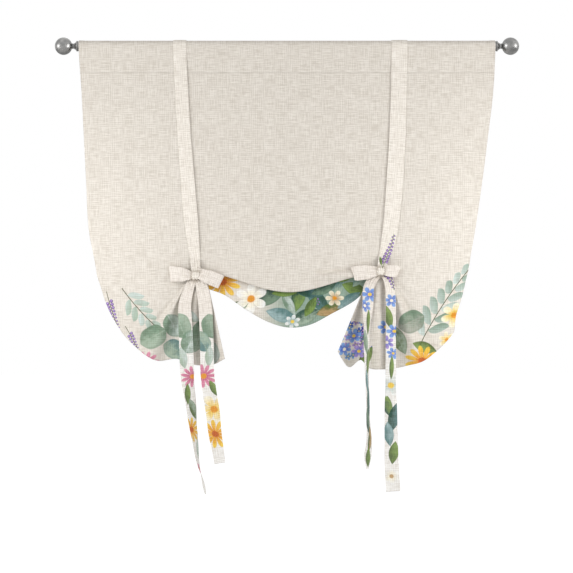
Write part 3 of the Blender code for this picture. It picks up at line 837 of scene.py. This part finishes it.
class Tree:
    """The nodes of a material or a world, with short ways to add and join them."""

    def __init__(self, owner):
        owner.use_nodes = True
        self.nodes = owner.node_tree.nodes
        self.links = owner.node_tree.links

    def put(self, socket, value):
        """Joins a value to a socket, or sets a number or colour there."""
        if isinstance(value, Value):
            self.links.new(value.socket, socket)
        else:
            socket.default_value = value

    def add(self, kind, inputs, **settings):
        node = self.nodes.new("ShaderNode" + kind)
        for key, value in settings.items():
            setattr(node, key, value)
        for key, value in inputs.items():
            self.put(node.inputs[key], value)
        return node

    def get(self, kind, inputs, output=0, **settings):
        """One output of a new node."""
        return Value(self, self.add(kind, inputs, **settings).outputs[output])

    def ramp(self, value, low, high, out_low=0.0, out_high=1.0, kind="SMOOTHSTEP"):
        """value from low to high as out_low to out_high, by a smooth step held at both ends."""
        inputs = {0: value, 1: low, 2: high, 3: out_low, 4: out_high}
        return self.get("MapRange", inputs, interpolation_type=kind)

    def split(self, vector):
        return [Value(self, output) for output in self.add("SeparateXYZ", {0: vector}).outputs]

    def join(self, x, y):
        return self.get("CombineXYZ", {0: x, 1: y})

    def length(self, vector):
        return self.get("VectorMath", {0: vector}, 1, operation="LENGTH")

    def mix(self, share, a, b, blend="MIX"):
        return self.get("Mix", {0: share, 6: a, 7: b}, 2, data_type="RGBA", blend_type=blend)

    def shade(self, share, colour, tint, blend="MULTIPLY"):
        """The colour with a share of the tint multiplied or screened over it."""
        return self.mix(share, colour, self.mix(1.0, colour, tint, blend))

    def place(self, vector, at=(0, 0), turn=0.0, size=(1, 1)):
        """The vector as seen from a motif: moved to at, turned by degrees, and in units of size."""
        inputs = {0: vector, 1: (*at, 0), 2: (0, 0, turn * DEGREE), 3: (*size, 1)}
        return self.get("Mapping", inputs, vector_type="TEXTURE")

    def noise(self, vector, scale, detail=2.0, roughness=0.5):
        inputs = {"Vector": vector, "Scale": scale, "Detail": detail, "Roughness": roughness}
        return self.get("TexNoise", inputs, noise_dimensions="2D")


class Look(Tree):
    """A material. On cloth, uv is the cloth's own plane in metres, and cloud a soft mottle on it."""

    def __init__(self, name):
        self.material = bpy.data.materials.new(name)
        super().__init__(self.material)

    def lay_cloth(self):
        self.uv = self.get("UVMap", {}, uv_map="cloth")
        self.cloud = self.noise(self.uv, 70.0, 3.0, 0.6)

    def motif(self, x, y, turn, length=1000, width=1000):
        """Both places on the cloth as seen from a motif at x, y, in units of its size, given in mm."""
        size = (length / 1000, width / 1000)
        return self.split(self.place(self.uv, (x / 1000, y / 1000), turn, size))[:2]

    def finish(self, inputs, bump):
        """Gives the shader its inputs and a bump of (strength, distance, height)."""
        shader = self.nodes["Principled BSDF"]
        if bump:
            strength, distance, height = bump
            bump = {"Strength": strength, "Distance": distance, "Height": height}
            inputs["Normal"] = self.get("Bump", bump)
        for key, value in inputs.items():
            self.put(shader.inputs[key], value)
        return self.material


LINEN = srgb(229, 223, 214)
STRAP_LINEN = srgb(242, 236, 227)
# The loops' and tails' linen: the strap's own cloth painted a shade darker, so the knot stands apart from
# the loops
SHADED_LOOP_LINEN = srgb(240, 233, 225)
TAIL_LINEN = srgb(246, 244, 240)
WEAVE_SHADE = srgb(228, 225, 221)
CREASE_SHADE = srgb(196, 191, 184)
# Screened over the cloth as the seam's painted highlight
SEAM_HIGHLIGHT = srgb(120, 118, 114)
BLOSSOM_SHADE = srgb(150, 160, 150)
BLOSSOM_HEART = srgb(246, 226, 130)
WASH_GREEN = srgb(150, 172, 158)


def weave(look):
    """Slubby plain weave: how dark the thread is at a point, and how high it stands.

    Threads of each way are noise drawn out along them, over an even lattice of thicker threads.
    """
    weft = look.noise(look.place(look.uv, size=(0.030, 0.0016)), 1.0, 3.0, 0.62)
    warp = look.noise(look.place(look.uv, at=(3.1, 1.7), size=(0.0016, 0.034)), 1.0, 3.0, 0.62)
    blotch = look.noise(look.uv, 26.0)
    u, v, _ = look.split(look.uv)
    rows = (v * (2 * math.pi / WEFT_PITCH)).math("SINE")
    columns = (u * (2 * math.pi / WARP_PITCH)).math("SINE")
    lattice = rows + columns
    both = weft * 0.55 + warp * 0.45
    tone = both + blotch * 0.06 + lattice * 0.026
    return look.ramp(tone, 0.42, 0.64, 1.0, 0.0), both + lattice * 0.06


def leaf(look, colour, x, y, turn, length, width, light, dark, power=2.0):
    """A leaf of two tones: inside where the offset is under 1 minus a power of the place along it.

    Its colours run into each other by the cloud, its edge is darker and its midrib paler.
    """
    along, across = look.motif(x, y, turn, length, width)
    away = abs(across)
    off = away - (1.0 - abs(along) ** power)
    cloudy = across + along * 0.5 + look.cloud * 2.4
    body = look.mix(look.ramp(cloudy, 0.2, 2.2), light, dark)
    body = look.mix(look.ramp(off, -0.30, 0.0, 0.0, 0.40), body, dark)
    body = look.mix(look.ramp(away, 0.0, 0.10, 0.55, 0.0), body, light)
    return look.mix(look.ramp(off, -0.07, 0.05, 0.94, 0.0), colour, body)


# A leaf with a blunt, nearly round outline
round_leaf = partial(leaf, power=3.4)


def stem_steps(look, x, y, turn, pitch, count, bend, lean):
    """The plane along a bent stem, cut into steps of a pitch that are set half a step apart on its sides.

    lean shears the steps forward. Gives the place along the stem, how far away from it and on which side,
    the step and the place in it from -0.5 to 0.5, and 1 where there are steps.
    """
    s, t = look.motif(x, y, turn)
    t = t - s * s * bend
    away = abs(t)
    beside = t > 0.0
    steps = (s - away * lean) / pitch + beside * 0.5
    cell = steps.math("FLOOR")
    return s, away, beside, cell, steps - cell - 0.5, (steps > 0.0) * (steps < count)


def paint_stem(look, colour, stem, away, inner, outer, s, start, end):
    """A stem from start to end that is full up to inner from its middle and gone at outer."""
    thick = look.ramp(away, inner, outer, 1.0, 0.0)
    return look.mix(thick * (s > start) * (s < end), colour, stem)


def branch(look, colour, x, y, turn, pitch, count, length, bend, light, dark, stem):
    """A branch with leaves on both sides of a bent stem.

    In each step, sheared so that the leaves slope forward, one leaf lies on each side, as wide as the
    step allows, and shorter towards the branch's tip.
    """
    pitch, length = pitch / 1000, length / 1000
    s, away, beside, cell, across, within = stem_steps(look, x, y, turn, pitch, count, bend, 0.8)
    q = away / (look.ramp(cell, 0.0, count, 1.0, 0.35) * length)
    off = abs(across) - q * (1.0 - q) * 1.9
    inside = look.ramp(off, -0.03, 0.03, 1.0, 0.0) * within
    chance = look.get("TexWhiteNoise", {"Vector": look.join(cell, beside)}, noise_dimensions="2D")
    colour = look.mix(inside, colour, look.mix(chance * 0.7 + across * 0.6, light, dark))
    return paint_stem(look, colour, stem, away, 0.0006, 0.0014, s, -pitch, pitch * count)


def berries(look, colour, x, y, turn, pitch, count, size, bend, light, dark, stem):
    """A spray of small round buds on both sides of a bent stem, smaller towards its tip."""
    pitch, size = pitch / 1000, size / 1000
    s, away, _, cell, across, within = stem_steps(look, x, y, turn, pitch, count, bend, 0.0)
    radius = look.ramp(cell, 0.0, count, 1.0, 0.45) * size
    across = across * pitch
    share = look.length(look.join(across, away - radius * 1.25)) / radius
    inside = look.ramp(share, 0.85, 1.1, 1.0, 0.0) * within
    body = look.mix(look.ramp(share + across * 60.0, 0.2, 1.0), light, dark)
    colour = look.mix(inside, colour, body)
    return paint_stem(look, colour, stem, away, 0.0004, 0.0011, s, -3 * pitch, pitch * count)


def lobes_of(x, y, petals):
    """A cosine of the angle, 1 in the middle of each petal and 0 between two."""
    return abs((y.math("ARCTAN2", x) * (petals / 2)).math("COSINE"))


def bloom(look, colour, x, y, turn, size, light, dark, heart, petals=6):
    """A flower: petals where the radius is under a power of a cosine of the angle, and a round heart."""
    x, y = look.motif(x, y, turn, size, size * 0.88)
    radius = (x * x + y * y).math("SQRT")
    lobes = lobes_of(x, y, petals)
    body = look.mix(look.ramp(radius + look.cloud * 0.9, 0.45, 1.5), dark, light)
    body = look.mix(look.ramp(lobes, 0.0, 0.6, 0.55, 0.0), body, dark)
    body = look.mix(look.ramp(radius + look.cloud * 0.12, 0.24, 0.34, 1.0, 0.0), body, heart)
    return look.mix(look.ramp(radius - lobes**0.40, -0.06, 0.05, 0.95, 0.0), colour, body)


# A flower with eleven narrow petals
daisy = partial(bloom, petals=11)


def palette(look, value, colours):
    """Even steps of the palette as value goes from 0 to 1."""
    node = look.add("ValToRGB", {0: value})
    ramp = node.color_ramp
    ramp.interpolation = "CONSTANT"
    while len(ramp.elements) < len(colours):
        ramp.elements.new(0.5)
    for k, colour in enumerate(colours):
        ramp.elements[k].position = k / len(colours)
        ramp.elements[k].color = colour
    return Value(look, node.outputs[0])


def strewn(look, colour, at, size, spacing, colours):
    """Small blossoms of five petals in an oval, one to a cell of the plane, each turned its own way.

    The cells are uneven. A blossom's colour and turn come from its cell's own chance value, and towards
    the oval's edge fewer cells keep theirs.
    """
    moved = look.place(look.uv, (0.3, 0.1), 0, (spacing, spacing))
    inputs = {"Vector": moved, "Scale": 1.0, "Randomness": 0.75}
    cells = look.add("TexVoronoi", inputs, voronoi_dimensions="2D", feature="F1").outputs
    chance, place, radius = (Value(look, cells[key]) for key in ("Color", "Position", "Distance"))
    red, green, _ = look.split(chance)
    local = look.get("VectorMath", {0: moved, 1: place}, operation="SUBTRACT")
    turned_by = {"Vector": local, "Angle": red * (2 * math.pi)}
    x, y, _ = look.split(look.get("VectorRotate", turned_by, rotation_type="Z_AXIS"))
    reach = 0.46
    inside = look.ramp(radius - lobes_of(x, y, 5) ** 0.4 * reach, -0.03, 0.03, 1.0, 0.0)
    away = look.length(look.place(look.uv, at, 0, size))
    kept = green < look.ramp(away, 0.65, 1.0, 1.0, 0.0) * 0.95
    tone = look.ramp(radius, 0.05, reach, 0.75, 0.0)
    body = look.shade(tone, palette(look, red, colours), BLOSSOM_SHADE)
    body = look.mix(look.ramp(radius, 0.05, 0.10, 1.0, 0.0), body, BLOSSOM_HEART)
    return look.mix(inside * kept, colour, body)


SAGE = srgb(168, 187, 168)
SAGE_DARK = srgb(118, 145, 122)
PALE_LEAF = srgb(205, 217, 212)
GREY_LEAF = srgb(172, 175, 163)
STEM = srgb(84, 88, 56)
VIOLET = srgb(186, 160, 220)
PLUM = srgb(92, 62, 128)
PINK = srgb(226, 150, 176)
ROSE = srgb(200, 98, 134)
YELLOW = srgb(245, 208, 84)
AMBER = srgb(232, 154, 40)
RUST = srgb(200, 96, 24)
CREAM = srgb(250, 243, 220)
SKY = srgb(136, 176, 232)
BLUE = srgb(84, 112, 206)
GREEN = srgb(132, 160, 84)
MOSS = srgb(86, 108, 56)
TEAL = srgb(94, 132, 132)
DEEP = srgb(52, 84, 72)
MIST = srgb(160, 186, 188)
TAN = srgb(196, 162, 116)
WHITE = srgb(248, 248, 246)


def paint_knot_shade(look, colour, near, far):
    """Painted shade where a strap comes out of its knot, from near to far along it, with painted streaks of
    shade like its gathers.
    """
    along = look.split(look.uv)[1]
    streaks = look.noise(look.place(look.uv, size=(0.0030, 0.060)), 1.0, 1.0)
    close = look.ramp(along, near, far, 1.0, 0.0)
    # Streaks of painted shade in the gathers close to the knot
    gather_shade_streaks = look.ramp(along, near, near + 0.045, 1.0, 0.0) * look.ramp(streaks, 0.52, 0.66)
    return look.shade((close * 0.8).math("MAXIMUM", gather_shade_streaks * 0.35), colour, CREASE_SHADE)


def seam_with_painted_light(look, colour, height):
    """The rod pocket's seam in painted light: a painted highlight across the cloth as on a lit ridge, with
    a thin painted shade under it.
    """
    above = look.split(look.uv)[1] + height
    # A painted highlight along the seam, and a thin line of painted shade just under it
    ridge_highlight = look.ramp(abs(above), 0.0004, 0.0020, 0.55, 0.0)
    under = look.ramp(abs(above + 0.0032), 0.0004, 0.0020, 0.30, 0.0)
    return look.shade(under, look.shade(ridge_highlight, colour, SEAM_HIGHLIGHT, "SCREEN"), CREASE_SHADE)


def linen(name, ground, motifs=(), blossoms=None, wash=None, painted_knot_shade=None, seam=None, faded=0.0):
    """Woven linen, plain or with a print.

    motifs are painted one over the other. blossoms strews small flowers in an oval. wash is a tint and
    where it comes in, each place an axis and two limits. The shade near a knot is painted on the cloth from
    near to far along the strap, seam is how far below the rod's axis a seam crosses it, with a painted
    highlight and painted shade along it, and faded is how much of the print the wrong side loses.
    """
    look = Look(name)
    look.lay_cloth()
    dark, height = weave(look)
    colour = ground
    if wash:
        tint, places = wash
        share = 1.0
        for axis, limits in places:
            share = look.ramp(look.split(look.uv)[axis], *limits) * share
        colour = look.mix(share, colour, tint)
    if blossoms:
        colour = strewn(look, colour, *blossoms)
    for painter, *shape in motifs:
        colour = painter(look, colour, *shape)
    colour = look.mix(faded, colour, ground)
    # Painted shade near the knot, then the seam's painted highlight and painted shade
    if painted_knot_shade:
        colour = paint_knot_shade(look, colour, *painted_knot_shade)
    if seam:
        colour = seam_with_painted_light(look, colour, seam)
    cloth = {
        "Base Color": look.shade(dark, colour, WEAVE_SHADE),
        "Roughness": 0.92,
        "Specular IOR Level": 0.18,
        "Sheen Weight": 0.08,
        "Sheen Roughness": 0.5,
    }
    return look.finish(cloth, (0.35, 0.0012, height))


# Prints: for each motif its painter, its place across and up (on a strap, across and along from the knot),
# its turn in degrees, its size and its colours, in mm. All are drawn freely, as plain leaves, sprays and
# flowers. A branch and a spray give the pitch and count of their steps, a leaf's or bud's size, and a bend.
LEFT_PRINT = [
    (branch, -408, -640, -52, 24, 5, 34, 0.8, PALE_LEAF, SAGE, STEM),
    (round_leaf, -342, -745, 30, 38, 28, SAGE, SAGE_DARK),
    (round_leaf, -290, -716, 118, 32, 24, PALE_LEAF, SAGE_DARK),
    (round_leaf, -285, -778, -25, 34, 25, SAGE, TEAL),
    (leaf, -224, -740, 75, 46, 24, SAGE, SAGE_DARK),
    (round_leaf, -196, -785, 110, 32, 24, PALE_LEAF, SAGE_DARK),
    (leaf, -250, -690, 150, 30, 14, PALE_LEAF, SAGE),
    (daisy, -360, -812, 10, 34, PINK, ROSE, AMBER),
    (bloom, -252, -824, 0, 24, PINK, ROSE, YELLOW),
    (berries, -455, -655, -74, 8.8, 9, 4.4, 0.8, VIOLET, PLUM, STEM),
    (berries, -402, -738, -60, 8, 6, 3.8, -0.9, VIOLET, PLUM, STEM),
]
RIGHT_PRINT = [
    (branch, 352, -742, 62, 32, 7, 44, -0.5, PALE_LEAF, SAGE_DARK, STEM),
    (round_leaf, 318, -706, 25, 36, 28, GREY_LEAF, SAGE_DARK),
    (leaf, 286, -752, 115, 42, 18, SAGE, MOSS),
    (leaf, 352, -772, -20, 34, 14, GREEN, MOSS),
    (bloom, 428, -690, 20, 36, CREAM, YELLOW, AMBER),
    (daisy, 345, -806, 0, 44, YELLOW, AMBER, RUST),
    (bloom, 408, -752, 40, 22, CREAM, YELLOW, AMBER),
    (leaf, 200, -800, 60, 36, 13, GREEN, MOSS),
    (berries, 206, -700, -100, 8.8, 10, 4.4, -1.2, VIOLET, PLUM, MOSS),
    (bloom, 170, -742, 15, 21, SKY, BLUE, YELLOW),
    (bloom, 146, -776, 50, 19, SKY, BLUE, CREAM),
    (bloom, 184, -782, 0, 20, VIOLET, BLUE, YELLOW),
    (bloom, 252, -720, 0, 21, SKY, BLUE, YELLOW),
]
BAND_PRINT = [
    (leaf, -40, -640, 35, 48, 19, SAGE_DARK, DEEP),
    (leaf, -12, -690, -15, 44, 18, MIST, TEAL),
    (leaf, 30, -640, 75, 46, 18, GREEN, DEEP),
    (leaf, 46, -694, 25, 42, 19, SAGE, DEEP),
    (leaf, 78, -650, -50, 50, 18, TEAL, DEEP),
    (leaf, 108, -676, 20, 36, 15, TAN, MOSS),
    (leaf, 128, -622, 60, 40, 16, SAGE, TEAL),
    (leaf, 172, -622, -20, 34, 16, GREEN, MOSS),
    (leaf, 158, -652, 35, 36, 14, MIST, TEAL),
    (leaf, 4, -660, 120, 34, 12, PALE_LEAF, SAGE_DARK),
    (berries, 60, -610, -70, 8.5, 7, 4.2, 1.0, VIOLET, PLUM, MOSS),
    (leaf, -128, -668, 15, 34, 13, SAGE, MOSS),
    (leaf, 0, -628, 10, 40, 14, GREEN, MOSS),
    (leaf, 52, -628, -15, 42, 16, DEEP, TEAL),
    (leaf, 94, -622, 25, 36, 14, SAGE_DARK, DEEP),
    (leaf, 60, -668, 60, 30, 12, GREEN, MOSS),
    (leaf, 140, -592, 10, 34, 13, GREEN, MOSS),
    (leaf, 186, -596, 50, 28, 11, SAGE, TEAL),
    (daisy, -166, -604, 12, 50, YELLOW, AMBER, RUST),
    (bloom, -92, -648, 30, 44, WHITE, CREAM, AMBER),
    (bloom, 122, -646, 0, 24, CREAM, TAN, AMBER),
    (bloom, 14, -706, 20, 20, WHITE, MIST, YELLOW),
]
STRAP_PRINTS = {
    "left": [],
    "right": [
        (berries, 4, 18, 82, 9, 9, 4.6, 0.6, VIOLET, PLUM, MOSS),
        (leaf, -6, 22, 110, 14, 3.6, GREEN, MOSS),
    ],
}
TAIL_PRINTS = {
    "outer_left": [
        (round_leaf, -12, 130, 70, 34, 26, SAGE, SAGE_DARK),
        (round_leaf, 12, 172, 115, 32, 24, PALE_LEAF, SAGE_DARK),
        (leaf, -10, 212, 80, 28, 12, PALE_LEAF, SAGE),
        (daisy, 14, 262, 0, 32, PINK, ROSE, AMBER),
        (leaf, -6, 305, 100, 28, 9, GREEN, MOSS),
        (leaf, 6, 345, 70, 30, 12, SAGE, MOSS),
        (daisy, -10, 396, 25, 36, YELLOW, AMBER, RUST),
        (leaf, 8, 448, 95, 26, 8, PALE_LEAF, SAGE),
        (bloom, -8, 496, 10, 16, PINK, ROSE, YELLOW),
    ],
    "inner_left": [
        (round_leaf, 12, 132, 80, 32, 24, SAGE, SAGE_DARK),
        (round_leaf, -12, 170, 60, 30, 20, SAGE, TEAL),
        (leaf, 6, 208, 95, 28, 11, PALE_LEAF, SAGE),
        (daisy, -10, 258, 0, 34, PINK, ROSE, AMBER),
        (leaf, 12, 292, 70, 24, 9, GREEN, MOSS),
        (bloom, 4, 345, 12, 42, CREAM, YELLOW, AMBER),
        (daisy, 0, 408, 40, 40, YELLOW, AMBER, RUST),
    ],
    "outer_right": [
        (berries, 6, 12, 84, 8.5, 5, 4.5, 0.0, VIOLET, PLUM, MOSS),
        (bloom, 2, 80, 10, 19, SKY, BLUE, CREAM),
        (leaf, -6, 122, 78, 30, 11, GREEN, MOSS),
        (bloom, 9, 158, 0, 21, SKY, BLUE, YELLOW),
        (bloom, -10, 186, 30, 19, VIOLET, BLUE, CREAM),
        (bloom, 6, 214, 12, 17, SKY, BLUE, YELLOW),
        (leaf, 2, 250, 92, 32, 6, GREEN, MOSS),
        (leaf, -10, 345, 72, 36, 13, GREEN, DEEP),
        (leaf, 8, 378, 104, 40, 15, TEAL, DEEP),
        (bloom, 0, 296, 0, 36, WHITE, PALE_LEAF, YELLOW),
        (leaf, -6, 420, 84, 32, 13, MIST, TEAL),
        (leaf, 6, 468, 100, 30, 13, GREEN, MOSS),
        (bloom, -2, 528, 30, 24, WHITE, CREAM, TAN),
    ],
    "inner_right": [
        (bloom, 4, 68, 0, 22, SKY, BLUE, YELLOW),
        (bloom, -9, 98, 25, 18, SKY, BLUE, CREAM),
        (leaf, 4, 140, 88, 34, 8, GREEN, MOSS),
        (leaf, -6, 190, 78, 34, 12, SAGE, SAGE_DARK),
        (leaf, 6, 240, 100, 36, 12, GREEN, MOSS),
        (leaf, -4, 290, 80, 34, 12, MIST, TEAL),
        (leaf, 4, 345, 92, 42, 15, TEAL, DEEP),
        (leaf, -6, 392, 80, 36, 14, SAGE_DARK, DEEP),
        (leaf, 4, 440, 98, 34, 12, TAN, MOSS),
        (leaf, 0, 485, 88, 26, 10, GREEN, MOSS),
    ],
}


def nickel():
    """Brushed nickel: fine rings round the rod's axis in its roughness and bump, and a mottled tone."""
    look = Look("satin_nickel")
    place = look.get("TexCoord", {}, "Object")
    rings_at = {"W": look.split(place)[0] * RINGS_PER_METRE, "Detail": 2.0}
    rings = look.get("TexNoise", rings_at, noise_dimensions="1D")
    cloud = look.get("TexNoise", {"Vector": place, "Scale": 60.0, "Detail": 3.0})
    metal = {
        "Base Color": look.mix(look.ramp(cloud, 0.35, 0.70), srgb(136, 136, 135), srgb(170, 169, 167)),
        "Metallic": 1.0,
        "Roughness": look.ramp(rings, 0.3, 0.7, 0.24, 0.40),
    }
    return look.finish(metal, (0.15, 0.0002, rings))


# Stage, light and camera


def floor():
    """A plain pale floor under the hanging curtain."""
    near, far, wide, level = -6.0, 12.0, 6.0, -1.3
    corners = [(-wide, near, level), (wide, near, level), (wide, far, level), (-wide, far, level)]
    look = Look("pale_floor")
    paint = {
        "Base Color": srgb(252, 252, 252),
        "Roughness": 1.0,
        "Specular IOR Level": 0.0,
        "Emission Color": (1, 1, 1, 1),
        "Emission Strength": look.get("LightPath", {}, "Is Camera Ray") * 0.55,
    }
    looks = [look.finish(paint, None)]
    mesh_object("floor", np.array(corners), np.array([[0, 1, 2, 3]]), looks=looks)


def sky(strength):
    """The surroundings: white to the camera and in reflections, and an even light on everything else.

    Reflections also see a bright soft patch on each side in front.
    """
    world = bpy.data.worlds.new("studio")
    bpy.context.scene.world = world
    tree = Tree(world)
    across, ahead, up = tree.split(tree.get("TexCoord", {}, "Generated"))
    beside = tree.ramp(abs(across), 0.80, 0.87, 0.0, 5.0, "LINEAR")
    level_with = tree.ramp(abs(up), 0.20, 0.34, 1.0, 0.0, "LINEAR")
    in_front = tree.ramp(ahead, -0.22, -0.12, 1.0, 0.0, "LINEAR")
    rays = tree.add("LightPath", {}).outputs
    seen, mirrored, let_through = (
        Value(tree, rays[f"Is {kind} Ray"]) for kind in ("Camera", "Glossy", "Transmission")
    )
    shown = seen.math("MAXIMUM", mirrored).math("MAXIMUM", let_through)
    level = tree.ramp(shown, 0.0, 1.0, strength, 1.0, "LINEAR")
    background = tree.nodes["Background"].inputs
    tree.put(background["Color"], (1, 1, 1, 1))
    tree.put(background["Strength"], level + beside * level_with * in_front * mirrored)


def lamp(name, at, target, size, power):
    """A square soft lamp that faces its target."""
    data = bpy.data.lights.new(name, "AREA")
    data.shape = "SQUARE"
    data.size = size
    data.energy = power
    made = linked(name, data)
    made.location = at
    made.rotation_euler = (Vector(target) - Vector(at)).to_track_quat("-Z", "Y").to_euler()
    made.visible_glossy = False


VIEW_CENTRE = (-0.0013, 0.0, -0.6164)
VIEW_SIZE = 1.4697
VIEW_DISTANCE = 6.0
SENSOR_WIDTH = 36.0


def camera():
    """The camera faces the curtain straight on, and its frame takes in VIEW_SIZE at the rod."""
    data = bpy.data.cameras.new("camera")
    data.sensor_width = SENSOR_WIDTH
    data.lens = SENSOR_WIDTH * VIEW_DISTANCE / VIEW_SIZE
    made = linked("camera", data)
    made.location = (VIEW_CENTRE[0], -VIEW_DISTANCE, VIEW_CENTRE[2])
    made.rotation_euler = (math.pi / 2, 0, 0)
    bpy.context.scene.camera = made


def panel_looks(side, faded):
    """The looks of one side of the panel: plain cloth, left wing, band and right wing."""
    blossoms = ((0.165, -0.755), (0.058, 0.062), 0.022, [SKY, BLUE, VIOLET, SKY, BLUE])
    green = (WASH_GREEN, [(0, (-0.09, 0.02)), (1, (-0.55, -0.60))])
    return [
        linen(f"linen_{side}", LINEN, seam=POCKET_DEPTH),
        linen(f"left_wing_{side}", LINEN, LEFT_PRINT, faded=faded),
        linen(f"band_{side}", LINEN, BAND_PRINT, wash=green, faded=faded),
        linen(f"right_wing_{side}", LINEN, RIGHT_PRINT, blossoms, faded=faded),
    ]


def main():
    rod_and_finials(nickel())
    cloth = panel(panel_looks("wrong", 0.5), panel_looks("right", 0.0))
    knots = linen("linen_knot", STRAP_LINEN)
    # Loops and tails are painted a shade darker than the strap and knot, and all of them get painted shade
    # near the knot
    loops = linen("linen_loop", SHADED_LOOP_LINEN, painted_knot_shade=(0.008, 0.018))
    hanging = {"wash": (TAIL_LINEN, [(1, (0.08, 0.22))]), "painted_knot_shade": (0.006, 0.020)}
    for side in SIDES:
        straps = linen(f"strap_{side.name}", STRAP_LINEN, STRAP_PRINTS[side.name], painted_knot_shade=(0.006, 0.012))
        names = [f"{label}_{side.name}" for label in LABELS]
        tails = [linen(f"tail_{name}", SHADED_LOOP_LINEN, TAIL_PRINTS[name], **hanging) for name in names]
        tie(side, knots, straps, loops, tails)
    floor()
    sky(strength=0.53)
    lamp("key", (-2.4, -4.0, 1.5), (0, 0, -0.5), 2.0, 49)
    lamp("fill", (2.6, -4.2, 0.9), (0, 0, -0.6), 2.2, 32)
    lamp("low_left", (-0.90, -0.55, -0.55), (-0.42, 0, -0.55), 0.3, 2.4)
    lamp("low_right", (0.90, -0.55, -0.55), (0.42, 0, -0.55), 0.3, 2.8)
    camera()
    bpy.context.scene.view_settings.view_transform = "Standard"


main()
